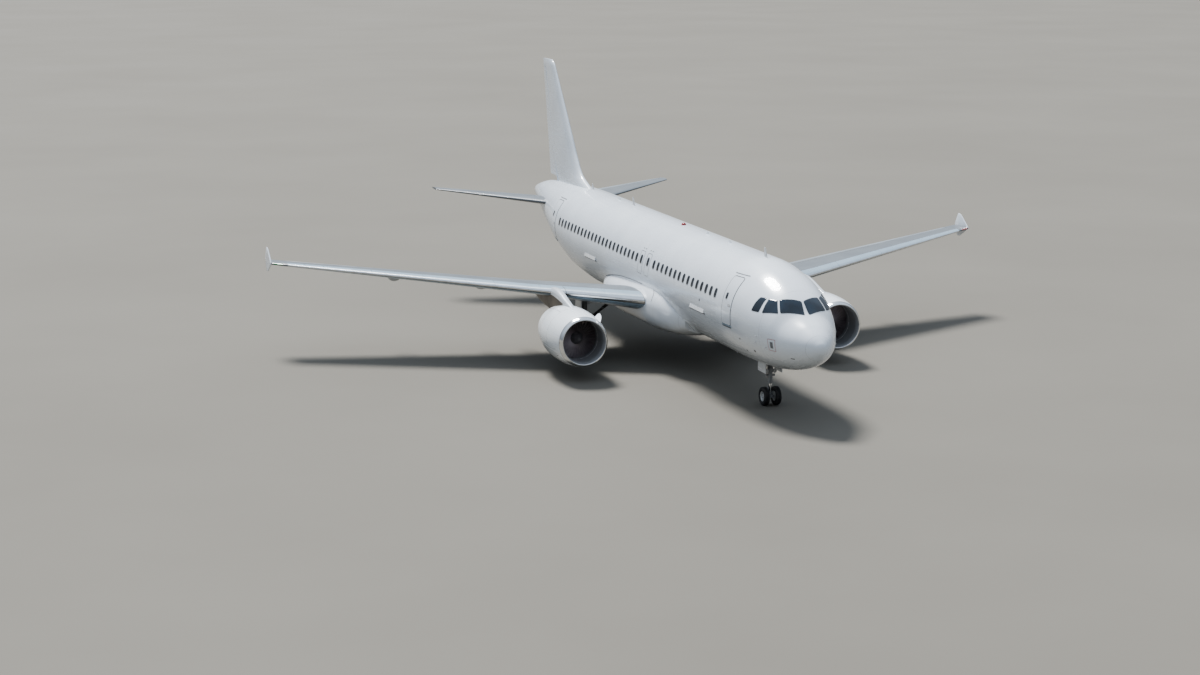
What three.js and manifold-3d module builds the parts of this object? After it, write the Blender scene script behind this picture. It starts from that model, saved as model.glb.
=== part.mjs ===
// A single-aisle, twin-engined, low-wing airliner parked on its wheels, in millimetres, +Z up.
// The ground is z = 0, the nose points to -Y, +X is the port side, and the origin lies under the
// middle of its length. A station is a distance from the nose tip: y = station - LENGTH / 2.

import * as THREE from 'three';
import { mergeVertices } from 'three/addons/utils/BufferGeometryUtils.js';
import Module from 'manifold-3d';

const wasm = await Module();
wasm.setup();

// Driving dimensions
const LENGTH = 37570;
const SPAN = 34100;
const SEAT = 0.3; // gap between faces that touch
const HINGE_GAP = 12; // running gap round a hinged surface
const HINGE_BOSS = { radius: 30, length: 60 };
const HINGE_NOSE_SHARE = 0.98; // nose radius of a control surface over its half thickness
const HINGE_BACK = 3000; // reach of the cutters behind a hinge line, and above and below it
const HINGE_HEIGHT = 700;
const BIG = 9000; // further than any cut has to reach
const PAST = 50; // how far a cutter runs past what it cuts

// Fuselage
const BARREL_HALF_WIDTH = 1975;
const BARREL_BOTTOM = 1740;
const BARREL_TOP = 5880;
const BODY_SIDES = 28;
const RADOME_END = 1050;
const NOSE_END = 6400;
const FRONT_END = 16900;
const REAR_END = 27000;
const TAIL_END = 36500;
const TAIL_BAY = { start: 31500, wall: 130 }; // unpressurised, open into the tail cone
const EXHAUST = { radius: 165, start: 36900, sides: 16 };
const BODY_ROWS = [
  { station: 0, halfWidth: 60, bottom: 3150, top: 3270 },
  { station: 100, halfWidth: 270, bottom: 2940, top: 3450 },
  { station: 350, halfWidth: 540, bottom: 2690, top: 3680 },
  { station: 800, halfWidth: 850, bottom: 2430, top: 3945 },
  { station: 1500, halfWidth: 1220, bottom: 2170, top: 4290 },
  { station: 2000, halfWidth: 1430, bottom: 2040, top: 4750 },
  { station: 3000, halfWidth: 1710, bottom: 1880, top: 5290 },
  { station: 4200, halfWidth: 1890, bottom: 1790, top: 5670 },
  { station: 6000, halfWidth: BARREL_HALF_WIDTH, bottom: BARREL_BOTTOM, top: BARREL_TOP },
  { station: 24000, halfWidth: BARREL_HALF_WIDTH, bottom: BARREL_BOTTOM, top: BARREL_TOP },
  { station: 26500, halfWidth: 1955, bottom: 1900, top: 5880 },
  { station: 29000, halfWidth: 1800, bottom: 2380, top: 5870 },
  { station: 32000, halfWidth: 1380, bottom: 3220, top: 5780 },
  { station: 35000, halfWidth: 820, bottom: 4020, top: 5560 },
  { station: 37000, halfWidth: 390, bottom: 4460, top: 5180 },
  { station: 37570, halfWidth: 240, bottom: 4560, top: 5020 },
];

// Cockpit windows, an outline seen from the side
const GLASS_THICKNESS = 60;
const GLASS_SPAN = [1150, 3600]; // stations that it lies between
const GLASS_MIDDLE = [2000, 4500];
const GLASS_OUTLINE = [
  [1300, 4240], [3160, 4230], [3130, 4560], [3060, 4790], [1300, 4790],
];

// Passenger doors
const DOOR_THICKNESS = 90;
const DOOR_CORNER = 130;
const DOOR_CUT = [800, 2200]; // reach of the door's cutter across the aircraft
const CABIN_DOORS = [
  { name: 'passenger_door_front', station: 5020, width: 810, sill: 3400, top: 5250 },
  { name: 'passenger_door_rear', station: 29000, width: 810, sill: 3450, top: 5300 },
];

// Holds and their doors, hinged at the top on the starboard side
const HOLD_WALL = 130;
const HOLD_FLOOR = 2150;
const HOLD_CEILING = 3300;
const CARGO_HINGE = { x: -1945, z: 3400 };
const CARGO_HINGE_RADIUS = 24;
const CARGO_HINGE_SIDES = 16;
const CARGO_DOOR_REACH = 1610;
const CARGO_DOOR_WIDTH = 1820;
const CARGO_DOOR_THICKNESS = 90;
const CARGO_GAP = 10;
const CARGO_DRUM_SIDES = 48;
const CARGO_INNER_X = -900; // the doorway is cut no further in than this
const HOLDS = [
  { name: 'cargo_door_front', door: 8220, start: 6950, end: 11400 },
  { name: 'cargo_door_rear', door: 22500, start: 20500, end: 25000 },
];

// Belly fairing
const FAIRING_SIDES = 24;
const FAIRING_POWER = 0.75; // below 1 makes the oval boxier
const FAIRING_ROWS = [
  { station: 10900, halfWidth: 1500, bottom: 1850, top: 3000 },
  { station: 11700, halfWidth: 1960, bottom: 1640, top: 3300 },
  { station: 12700, halfWidth: 2220, bottom: 1500, top: 3620 },
  { station: 14000, halfWidth: 2330, bottom: 1430, top: 3700 },
  { station: 17500, halfWidth: 2330, bottom: 1420, top: 3500 },
  { station: 19500, halfWidth: 2200, bottom: 1480, top: 3350 },
  { station: 20700, halfWidth: 1900, bottom: 1640, top: 3200 },
  { station: 21600, halfWidth: 1450, bottom: 1880, top: 3000 },
];

// Wing, port side, and its movable surfaces
const FENCE_THICKNESS = 60;
const WING_ROWS = [
  { x: 1700, le: 13290, te: 19900, z: 2660, twist: 4.0, thickness: 0.15 },
  { x: 6400, le: 15810, te: 19850, z: 3160, twist: 2.2, thickness: 0.125 },
  {
    x: SPAN / 2 - FENCE_THICKNESS - SEAT, le: 21480, te: 22930, z: 4075, twist: 0.5,
    thickness: 0.11,
  },
];
const TWIST_SHARE = 0.4; // twisted about this share of the chord
const WING_CHORD_POINTS = [1, 0.88, 0.74, 0.55, 0.35, 0.18, 0.08, 0.02];
const SLAT_DEPTH = { root: 0.105, tip: 0.19 };
const SLATS = [
  { name: 'slat_inner', from: 2450, to: 5340 },
  { name: 'slat_outer', from: 5360, to: 16350 },
];
const FLAP_HINGE = 0.77;
const FLAPS = [
  { name: 'flap_inner', from: 2420, to: 6390 },
  { name: 'flap_outer', from: 6400, to: 13280 },
];
const AILERON = { from: 13300, to: 16200, chord: 0.74 };
const FENCE_OUTLINE = [
  [21460, 4080], [22300, 4660], [22620, 4700], [22960, 4120], [22700, 3570], [22400, 3590],
];
const TRACK_DROP = 60; // below the wing's line
const TRACK_SINK = 280; // and as much more at the rear end
const TRACK_CROWN = 100;
const TRACK_SHAPE = [[0, 0.1], [0.2, 0.65], [0.5, 1], [0.8, 0.65], [1, 0.12]]; // share, size
const TRACK_FAIRINGS = [
  { x: 6300, front: 17200, rear: 20900, depth: 330, halfWidth: 190 },
  { x: 8100, front: 17700, rear: 21100, depth: 300, halfWidth: 170 },
  { x: 11750, front: 19200, rear: 22100, depth: 260, halfWidth: 150 },
];

// Fin and rudder
const FIN_ROWS = [
  { z: 5500, le: 27300, te: 35230, half: 250 },
  { z: 5980, le: 28900, te: 35340, half: 255 },
  { z: 6300, le: 29900, te: 35410, half: 255 },
  { z: 6980, le: 30700, te: 35560, half: 250 },
  { z: 8120, le: 31650, te: 35810, half: 220 },
  { z: 11600, le: 34600, te: 36570, half: 100 },
  { z: 11760, le: 34950, te: 36600, half: 60 },
];
const RUDDER = {
  foot: { station: 33780, z: 5900, radius: 165 }, head: { station: 35980, z: 11350, radius: 68 },
};
const RUDDER_FOOT_GAP = 40;

// Tailplane and elevators, port side
const TAILPLANE_ROWS = [
  { x: 500, le: 31150, te: 34900, z: 4770, twist: 0, thickness: 0.1 },
  { x: 6225, le: 34880, te: 35910, z: 5340, twist: 0, thickness: 0.1 },
];
const ELEVATOR = { from: 1330, to: 6050, chord: 0.69 };

// Engines, port side
const ENGINE_X = 5750;
const ENGINE_Z = 1720;
const ENGINE_SIDES = 28;
const COWL_POINTS = 7; // the first points of the profile, outside
const CORE_SIDES = 20;
const NACELLE_PROFILE = [ // station, radius: round the cowl, and back through the duct
  [11350, 940], [11400, 1005], [11650, 1085], [12300, 1165], [13100, 1190], [13900, 1155],
  [15000, 955], [15000, 935], [14500, 950], [13400, 930], [12740, 880], [12100, 880],
  [11600, 868],
];
const FAN_REAR = 12735;
const CORE_PROFILE = [
  [FAN_REAR + SEAT, 0], [FAN_REAR + SEAT, 90], [12760, 90], [12760, 400], [13300, 560],
  [14300, 640], [15000, 600], [15700, 430], [15700, 400], [15500, 330], [16150, 60], [16170, 0],
];
const FAN_PROFILE = [
  [12130, 0], [12180, 70], [12420, 250], [12640, 300], [FAN_REAR, 300], [FAN_REAR, 0],
];
const FAN_STATION = 12540;
const FAN_TIP_RADIUS = 868;
const FAN_BLADES = 24;
const FAN_BLADE = {
  root: 200, width: 170, thickness: 14, rootPitch: 35, tipPitch: 62, tipGap: 4,
};
const STRUT_COUNT = 6;
const STRUT = { station: 13250, length: 350, thickness: 40, inner: 300, outer: 1000 };
const PYLON_SIDES = 12;
const PYLON_POWER = 0.6;
const PYLON_ROWS = [
  { station: 12640, halfWidth: 60, bottom: 2700, top: 2830 },
  { station: 13600, halfWidth: 150, bottom: 2500, top: 3060 },
  { station: 15300, halfWidth: 210, bottom: 2290, top: 3380 },
  { station: 16300, halfWidth: 210, bottom: 2380, top: 3300 },
  { station: 17700, halfWidth: 170, bottom: 2500, top: 3200 },
  { station: 19000, halfWidth: 60, bottom: 2790, top: 3150 },
];

// Nose landing gear
const NOSE_GEAR = { station: 5070, tyreRadius: 381, tyreWidth: 224, spacing: 500, rim: 190 };
const NOSE_TYRE_SIDES = 24;
const NOSE_BAY = { halfWidth: 300, from: 4550, to: 5600, top: 2450 };
const NOSE_LEG = { radius: 95, foot: 900, pistonRadius: 62 };
const NOSE_TRUNNION = { z: 2050, radius: 70 };
const NOSE_DRAG_STAY = { foot: 1500, drop: 260, inset: 60, radius: 45 };
const NOSE_AXLE_BEAM = { half: 115, radius: 85 };
const NOSE_LINK = { half: 35, front: 40, rear: 200, foot: 180, top: 250 };
const TOW_PAD = { half: 60, reach: 150, height: 50 };
const NOSE_DOOR = { x: 335, thickness: 30, foot: 1370, top: 2300, from: 4700, to: 5500 };
const AXLE_RADIUS = 45;
const AXLE_CLEARANCE = 0.75;
const BORE_HALF = 400;
const AXLE_SIDES = 24;
const HUB = { width: 0.62, dish: 0.45, dishRadius: 0.75, capRadius: 70 }; // shares of tyre and rim

// Main landing gear, port side
const MAIN_GEAR = {
  station: 17710, x: 3795, tyreRadius: 570, tyreWidth: 430, spacing: 927, rim: 265,
};
const MAIN_TYRE_SIDES = 28;
const MAIN_LEG = { radius: 140, top: 3000, foot: 950, pistonTop: 1150, pistonRadius: 95, lean: 60 };
const MAIN_AXLE_BEAM = { half: 215, radius: 130 };
const MAIN_LINK = { half: 60, front: -260, rear: -60, foot: 150, top: 230 };
const MAIN_LINK_BAR = { footY: -230, footZ: 190, headY: -150, headZ: 1210, radius: 35 };
const SIDE_STAY = { radius: 60, lowX: 3680, lowZ: 1380, highX: 2250, highZ: 2420 };
const LEG_DOOR = { x: 4010, thickness: 35, from: 17250, to: 18150, foot: 1260, top: 3000 };
const LEG_BRACKETS = [1450, 2200];
const BRACKET_HALF = 40;

// Jacking pads and tow fitting
const PAD_RADIUS = 70;
const NOSE_PAD = { x: 0, station: 2900, z: 1855, length: 200 };
const WING_PAD = { x: 7300, station: 17300, z: 2970, length: 300 };

const COLORS = {
  white: { color: 0xeef1f3, roughness: 0.3, metalness: 0 },
  grey: { color: 0xb9c4cf, roughness: 0.35, metalness: 0.1 },
  silver: { color: 0xd4d6d8, roughness: 0.2, metalness: 0.9 },
  core: { color: 0x6f6b66, roughness: 0.4, metalness: 0.8 },
  fan: { color: 0x2a2a2c, roughness: 0.4, metalness: 0.6 },
  glass: { color: 0x10151a, roughness: 0.08, metalness: 0 },
  gear: { color: 0xc3c6c8, roughness: 0.4, metalness: 0.3 },
  rubber: { color: 0x18181a, roughness: 0.85, metalness: 0 },
};

const yOf = (station) => station - LENGTH / 2;
const vector = (x, y, z) => new THREE.Vector3(x, y, z);
const degrees = THREE.MathUtils.degToRad;
const lerp = THREE.MathUtils.lerp;

// Solids and meshes
function manifoldOf(geometry) {
  const plain = geometry.clone();
  for (const name of Object.keys(plain.attributes)) {
    if (name !== 'position') plain.deleteAttribute(name);
  }
  const merged = mergeVertices(plain, 1e-3);
  return new wasm.Manifold(new wasm.Mesh({
    numProp: 3,
    vertProperties: new Float32Array(merged.attributes.position.array),
    triVerts: new Uint32Array(merged.index.array),
  }));
}

function geometryOf(solid) {
  const mesh = solid.getMesh();
  const geometry = new THREE.BufferGeometry();
  geometry.setAttribute('position', new THREE.BufferAttribute(mesh.vertProperties, 3));
  geometry.setIndex(new THREE.BufferAttribute(mesh.triVerts, 1));
  return geometry;
}

function largest(solid) {
  const bodies = solid.decompose();
  return bodies.reduce((best, body) => (body.volume() > best.volume() ? body : best));
}

// A closed skin over rings of points that all have the same count, with its faces alike on both sides
function loft(rings) {
  const count = rings[0].length;
  const points = rings.flat();
  const index = [];
  for (let row = 0; row + 1 < rings.length; row += 1) {
    for (let i = 0; i < count; i += 1) {
      const a = row * count + i;
      const b = row * count + (i + 1) % count;
      const starboard = points[a].x + points[b].x < 0;
      if (starboard) index.push(a, b, a + count, b, b + count, a + count);
      else index.push(a, b, b + count, a, b + count, a + count);
    }
  }
  const capped = (ring, start, reversed) => {
    const normal = vector(0, 0, 0);
    ring.forEach((p, i) => normal.add(p.clone().cross(ring[(i + 1) % count])));
    const size = [Math.abs(normal.x), Math.abs(normal.y), Math.abs(normal.z)];
    const drop = size.indexOf(Math.max(...size));
    const flat = ring.map((p) => {
      const kept = [p.x, p.y, p.z].filter((value, axis) => axis !== drop);
      return new THREE.Vector2(kept[0], kept[1]);
    });
    const faces = THREE.ShapeUtils.triangulateShape(flat, []);
    const areaOf = (corners) => THREE.ShapeUtils.area(corners);
    const faceArea = faces.reduce((sum, face) => sum + areaOf(face.map((i) => flat[i])), 0);
    const keep = (faceArea > 0 === areaOf(flat) > 0) !== reversed;
    for (const [a, b, c] of faces) {
      index.push(start + a, start + (keep ? b : c), start + (keep ? c : b));
    }
  };
  capped(rings[0], 0, true);
  capped(rings[rings.length - 1], (rings.length - 1) * count, false);
  const geometry = new THREE.BufferGeometry();
  const places = points.flatMap((p) => [p.x, p.y, p.z]);
  geometry.setAttribute('position', new THREE.Float32BufferAttribute(places, 3));
  geometry.setIndex(signedVolume(points, index) < 0 ? turnedOver(index) : index);
  return manifoldOf(geometry);
}

function turnedOver(index) {
  const other = [];
  for (let i = 0; i < index.length; i += 3) other.push(index[i], index[i + 2], index[i + 1]);
  return other;
}

function signedVolume(points, index) {
  let total = 0;
  for (let i = 0; i < index.length; i += 3) {
    const [a, b, c] = [points[index[i]], points[index[i + 1]], points[index[i + 2]]];
    total += a.dot(b.clone().cross(c));
  }
  return total / 6;
}

function box(x0, x1, y0, y1, z0, z1) {
  const geometry = new THREE.BoxGeometry(x1 - x0, y1 - y0, z1 - z0);
  geometry.translate((x0 + x1) / 2, (y0 + y1) / 2, (z0 + z1) / 2);
  return manifoldOf(geometry);
}

// A round bar between two points
function bar(start, end, radius, sides = 12, endRadius = radius) {
  const along = end.clone().sub(start);
  const geometry = new THREE.CylinderGeometry(endRadius, radius, along.length(), sides);
  geometry.rotateY(Math.PI / sides);
  const turn = new THREE.Quaternion().setFromUnitVectors(vector(0, 1, 0), along.clone().normalize());
  geometry.applyQuaternion(turn);
  const middle = start.clone().add(end).multiplyScalar(0.5);
  geometry.translate(middle.x, middle.y, middle.z);
  return manifoldOf(geometry);
}

// A flat plate: an outline of [station, z] points, from x0 to x1
function sidePlate(outline, x0, x1) {
  return loft([x0, x1].map((x) => outline.map(([station, z]) => vector(x, yOf(station), z))));
}

// A block seen from above: an outline of [x, y] points
function planBlock(outline, z0 = -BIG, z1 = BIG * 2) {
  return loft([z0, z1].map((z) => outline.map(([x, y]) => vector(x, y, z))));
}

// A solid of revolution about an axis along Y at (x, z)
function turned(profile, x, z, sides, phase = 0) {
  const points = profile.map(([station, radius]) => new THREE.Vector2(radius, yOf(station)));
  const first = profile[0];
  if (first[1] > 0) points.push(points[0].clone());
  const geometry = new THREE.LatheGeometry(points, sides, phase);
  geometry.translate(x, 0, z);
  const solid = manifoldOf(geometry);
  return solid.volume() > 0 ? solid : manifoldOf(flipped(geometry));
}

function flipped(geometry) {
  const copy = geometry.clone();
  copy.setIndex(turnedOver(Array.from(copy.index.array)));
  return copy;
}

const union = (solids) => solids.reduce((sum, solid) => sum.add(solid));
const mirrored = (solid) => solid.mirror([1, 0, 0]);

// Fuselage skin, cut into barrels
function bodyRow(station) {
  const next = BODY_ROWS.findIndex((row) => row.station >= station);
  const b = BODY_ROWS[Math.max(next, 1)];
  const a = BODY_ROWS[Math.max(next, 1) - 1];
  const t = (station - a.station) / (b.station - a.station);
  return {
    station,
    halfWidth: lerp(a.halfWidth, b.halfWidth, t),
    bottom: lerp(a.bottom, b.bottom, t),
    top: lerp(a.top, b.top, t),
  };
}

function ovalRing(row, sides, grow = 0, power = 1) {
  const middle = (row.top + row.bottom) / 2;
  const halfHeight = (row.top - row.bottom) / 2 + grow;
  const curve = (value) => Math.sign(value) * Math.abs(value) ** power;
  return Array.from({ length: sides }, (_, i) => {
    const angle = i * 2 * Math.PI / sides;
    const x = (row.halfWidth + grow) * curve(Math.cos(angle));
    return vector(x, yOf(row.station), middle + halfHeight * curve(Math.sin(angle)));
  });
}

function barrel(from, to, grow = 0) {
  const inside = BODY_ROWS.filter((row) => row.station > from && row.station < to);
  const rows = [bodyRow(from), ...inside, bodyRow(to)];
  return loft(rows.map((row) => ovalRing(row, BODY_SIDES, grow)));
}

const skinGrown = barrel(0, LENGTH, SEAT);

// A part of the skin, thickness deep, inside a cutter
function panel(cutter, from, to, thickness) {
  return cutter.intersect(barrel(from, to)).subtract(barrel(from - PAST, to + PAST, -thickness));
}

function pocket(cutter, from, to, depth) {
  return cutter.intersect(barrel(from, to, PAST)).subtract(barrel(from - PAST, to + PAST, -depth));
}

// Cabin doors
function doorOutline(door, grow) {
  const half = door.width / 2 + grow;
  const [left, right] = [door.station - half, door.station + half];
  const [low, high] = [door.sill - grow, door.top + grow];
  const c = DOOR_CORNER;
  const d = c * 0.3;
  return [
    [left + c, low], [right - c, low], [right - d, low + d], [right, low + c],
    [right, high - c], [right - d, high - d], [right - c, high], [left + c, high],
    [left + d, high - d], [left, high - c], [left, low + c], [left + d, low + d],
  ];
}

function cabinDoor(door, side) {
  const cut = (grow) => sidePlate(doorOutline(door, grow), side * DOOR_CUT[0], side * DOOR_CUT[1]);
  const [from, to] = [door.station - door.width, door.station + door.width];
  return {
    panel: largest(panel(cut(0), from, to, DOOR_THICKNESS)),
    pocket: pocket(cut(SEAT), from, to, DOOR_THICKNESS + SEAT),
  };
}

// Cargo doors: cut by a drum about the hinge line, so that the sill clears the swinging edge
function cargoSector(station, halfWidth, reach, ceiling) {
  const drum = bar(
    vector(CARGO_HINGE.x, yOf(station) - halfWidth, CARGO_HINGE.z),
    vector(CARGO_HINGE.x, yOf(station) + halfWidth, CARGO_HINGE.z), reach, CARGO_DRUM_SIDES,
  );
  return drum.subtract(box(-BIG, BIG, -BIG * 3, BIG * 3, ceiling, BIG));
}

function cargoDoor(hold) {
  const y = yOf(hold.door);
  const [from, to] = [hold.door - CARGO_DOOR_WIDTH, hold.door + CARGO_DOOR_WIDTH];
  const half = CARGO_DOOR_WIDTH / 2;
  const leaf = panel(
    cargoSector(hold.door, half, CARGO_DOOR_REACH, CARGO_HINGE.z), from, to, CARGO_DOOR_THICKNESS,
  );
  const knuckle = bar(
    vector(CARGO_HINGE.x, y - half, CARGO_HINGE.z), vector(CARGO_HINGE.x, y + half, CARGO_HINGE.z),
    CARGO_HINGE_RADIUS, CARGO_HINGE_SIDES,
  );
  const clearance = bar(
    vector(CARGO_HINGE.x, y - half - CARGO_GAP, CARGO_HINGE.z),
    vector(CARGO_HINGE.x, y + half + CARGO_GAP, CARGO_HINGE.z), CARGO_HINGE_RADIUS + CARGO_GAP,
    CARGO_HINGE_SIDES,
  );
  const hole = cargoSector(hold.door, half + CARGO_GAP, CARGO_DOOR_REACH + CARGO_GAP, CARGO_HINGE.z)
    .subtract(box(CARGO_INNER_X, BIG, -BIG * 3, BIG * 3, -BIG, BIG));
  const bosses = [-1, 1].map((end) => bar(
    vector(CARGO_HINGE.x, y + end * (half + SEAT), CARGO_HINGE.z),
    vector(CARGO_HINGE.x, y + end * (half + HINGE_BOSS.length), CARGO_HINGE.z),
    CARGO_HINGE_RADIUS, CARGO_HINGE_SIDES,
  ));
  return { leaf: largest(leaf).add(knuckle), hole: hole.add(clearance), bosses };
}

function holdSpace(hold) {
  const room = box(-BIG, BIG, yOf(hold.start), yOf(hold.end), HOLD_FLOOR, HOLD_CEILING);
  return room.intersect(barrel(hold.start - PAST, hold.end + PAST, -HOLD_WALL));
}

// Half thickness of the usual symmetrical section, over its full thickness, at a share of the chord
function spread(u) {
  return 5 * (0.2969 * Math.sqrt(u) - 0.126 * u - 0.3516 * u ** 2 + 0.2843 * u ** 3 - 0.1015 * u ** 4);
}

// Aerofoil ring: from the trailing edge over the top to the nose and back under
function aerofoil(row, place, grow = 0) {
  const chord = row.te - row.le;
  const half = (u) => spread(u) * (row.half ? row.half * 2 : row.thickness * chord) + grow;
  const back = (u) => u * chord + (u === 1 ? grow : 0);
  const upper = WING_CHORD_POINTS.map((u) => place(row, back(u), half(u)));
  const lower = [...WING_CHORD_POINTS].reverse().map((u) => place(row, back(u), -half(u)));
  return [...upper, place(row, -grow, 0), ...lower];
}

function wingPoint(row, back, up) {
  const pivot = TWIST_SHARE * (row.te - row.le);
  const twist = degrees(row.twist);
  const y = pivot + (back - pivot) * Math.cos(twist) + up * Math.sin(twist);
  const z = -(back - pivot) * Math.sin(twist) + up * Math.cos(twist);
  return vector(row.x, yOf(row.le + y), row.z + z);
}

const finPoint = (row, back, side) => vector(side, yOf(row.le + back), row.z);
const liftingSurface = (rows, grow = 0) => loft(rows.map((row) => aerofoil(row, wingPoint, grow)));

function spanRow(rows, x) {
  const next = Math.max(rows.findIndex((row) => row.x >= x), 1);
  const [a, b] = [rows[next - 1], rows[next]];
  const t = (x - a.x) / (b.x - a.x);
  const blend = (key) => lerp(a[key], b[key], t);
  return {
    x, le: blend('le'), te: blend('te'), z: blend('z'), twist: blend('twist'),
    thickness: blend('thickness'),
  };
}

// The point on the camber line at a share of the chord
function chordPoint(rows, x, share) {
  const row = spanRow(rows, x);
  return wingPoint(row, share * (row.te - row.le), 0);
}

function halfThickness(rows, x, share) {
  const row = spanRow(rows, x);
  return spread(share) * row.thickness * (row.te - row.le);
}

// What turns about a hinge line: a round nose and all behind it, with its ends square to the line
function hingeCutter(start, end, startRadius, endRadius, up, grow, endGrow) {
  const along = end.clone().sub(start).normalize();
  const back = up.clone().cross(along).normalize();
  if (back.y < 0) back.negate();
  const normal = along.clone().cross(back).normalize();
  const noseSteps = 10;
  const ring = (centre, radius) => {
    const points = [];
    for (let i = 0; i <= noseSteps; i += 1) {
      const angle = Math.PI / 2 + Math.PI * i / noseSteps;
      const out = centre.clone();
      out.addScaledVector(back, (radius + grow) * Math.cos(angle));
      out.addScaledVector(normal, (radius + grow) * Math.sin(angle));
      points.push(out);
    }
    for (const [b, n] of [[0, -1], [1, -1], [1, 1], [0, 1]]) {
      points.push(
        centre.clone().addScaledVector(back, b * HINGE_BACK).addScaledVector(normal, n * HINGE_HEIGHT),
      );
    }
    return points;
  };
  return loft([
    ring(start.clone().addScaledVector(along, -endGrow), startRadius),
    ring(end.clone().addScaledVector(along, endGrow), endRadius),
  ]);
}

function controlSurface(surface, start, end, startRadius, endRadius, up) {
  const moving = hingeCutter(start, end, startRadius, endRadius, up, 0, 0);
  const clear = hingeCutter(start, end, startRadius, endRadius, up, HINGE_GAP, HINGE_GAP);
  const bosses = [[start, end], [end, start]].map(([near, far]) => {
    const out = near.clone().sub(far).normalize();
    const seat = near.clone().addScaledVector(out, SEAT);
    return bar(seat, near.clone().addScaledVector(out, HINGE_BOSS.length), HINGE_BOSS.radius);
  });
  const rest = union([surface.subtract(clear), ...bosses]);
  return { moving: largest(surface.intersect(moving)), rest };
}

function hingedOn(rows, surface, spec) {
  const [start, end] = [spec.from, spec.to].map((x) => chordPoint(rows, x, spec.chord));
  const radiusAt = (x) => halfThickness(rows, x, spec.chord) * HINGE_NOSE_SHARE;
  const [a, b] = [radiusAt(spec.from), radiusAt(spec.to)];
  return { start, end, ...controlSurface(surface, start, end, a, b, vector(0, 0, 1)) };
}

// Blocks in plan that cut slats and flaps from the wing, straight down
function planRegion(from, to, shareFrom, shareTo, front, grow) {
  const edge = (x, share) => chordPoint(WING_ROWS, x, share).y;
  const shares = { [from]: shareFrom, [to]: shareTo };
  const inner = edge(from, shares[from]) + (front ? grow : -grow);
  const outer = edge(to, shares[to]) + (front ? grow : -grow);
  const reach = front ? -HINGE_BACK : HINGE_BACK;
  const [near, far] = [from - grow, to + grow];
  return planBlock([[near, inner], [far, outer], [far, outer + reach], [near, inner + reach]]);
}

function slatShare(x) {
  const root = WING_ROWS[0].x;
  const tip = WING_ROWS[WING_ROWS.length - 1].x;
  return lerp(SLAT_DEPTH.root, SLAT_DEPTH.tip, (x - root) / (tip - root));
}

function slatRegion(slat, grow) {
  return planRegion(slat.from, slat.to, slatShare(slat.from), slatShare(slat.to), true, grow);
}

function flapRegion(flap, grow) {
  return planRegion(flap.from, flap.to, FLAP_HINGE, FLAP_HINGE, false, grow);
}

// Pods: flap track fairings and pylons, lofted along Y with boxy ovals
function pod(rows, x, sides = 8, power = 0.8) {
  const rings = rows.map((row) => ovalRing(row, sides, 0, power));
  return loft(rings.map((ring) => ring.map((p) => vector(p.x + x, p.y, p.z))));
}

function trackFairing(spec) {
  const row = spanRow(WING_ROWS, spec.x);
  return pod(TRACK_SHAPE.map(([t, size]) => {
    const base = row.z - TRACK_DROP - TRACK_SINK * t;
    return {
      station: lerp(spec.front, spec.rear, t),
      halfWidth: spec.halfWidth * size,
      bottom: base - spec.depth * size,
      top: base + TRACK_CROWN * size,
    };
  }), spec.x);
}

// Wheels: a tyre about an axle along X. Its section is [share from rim to tread, share of half width]
function tyre(x, z, y, radius, width, rim, sides) {
  const half = [[0, 0.7], [0.5, 1], [0.9, 0.86], [1, 0.55]];
  const section = [
    ...half.map(([out, across]) => [out, -across]), ...[...half].reverse(), [0, -half[0][1]],
  ];
  const profile = section.map(([out, across]) => new THREE.Vector2(
    lerp(rim, radius, out), across * width / 2,
  ));
  const geometry = new THREE.LatheGeometry(profile, sides, Math.PI / sides);
  geometry.rotateZ(Math.PI / 2);
  geometry.translate(x, y, z);
  const solid = manifoldOf(geometry);
  return solid.volume() > 0 ? solid : manifoldOf(flipped(geometry));
}

function wheelPair(x, y, z, gear, sides) {
  const half = gear.spacing / 2;
  const rimWidth = gear.tyreWidth * HUB.width / 2;
  const hubs = [-1, 1].flatMap((side) => [
    bar(vector(x + side * half - rimWidth, y, z), vector(x + side * half + rimWidth, y, z),
      gear.rim - SEAT, sides),
  ]);
  const dish = [-1, 1].map((side) => bar(
    vector(x + side * (half + rimWidth * HUB.dish), y, z),
    vector(x + side * (half + rimWidth * 2), y, z), gear.rim * HUB.dishRadius, 16,
  ));
  const axle = bar(vector(x - half, y, z), vector(x + half, y, z), AXLE_RADIUS, AXLE_SIDES);
  const capEnd = half + rimWidth;
  const cap = bar(vector(x - capEnd, y, z), vector(x + capEnd, y, z), HUB.capRadius);
  const rims = hubs.map((hub, i) => hub.subtract(dish[i]));
  return union([...rims, axle, cap.subtract(box(x - half, x + half, -BIG * 3, BIG * 3, 0, BIG))]);
}

const airliner = new THREE.Group();
const pieces = [];

function add(name, solid, finish) {
  const material = new THREE.MeshStandardMaterial(COLORS[finish]);
  const mesh = new THREE.Mesh(geometryOf(solid), material);
  mesh.name = name;
  airliner.add(mesh);
  pieces.push(mesh);
}

function addBoth(name, solid, finish) {
  add(`${name}_left`, solid, finish);
  add(`${name}_right`, mirrored(solid), finish);
}

function jackPad(pad) {
  const foot = vector(pad.x, yOf(pad.station), pad.z);
  return bar(foot, foot.clone().setZ(pad.z + pad.length), PAD_RADIUS);
}

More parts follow.
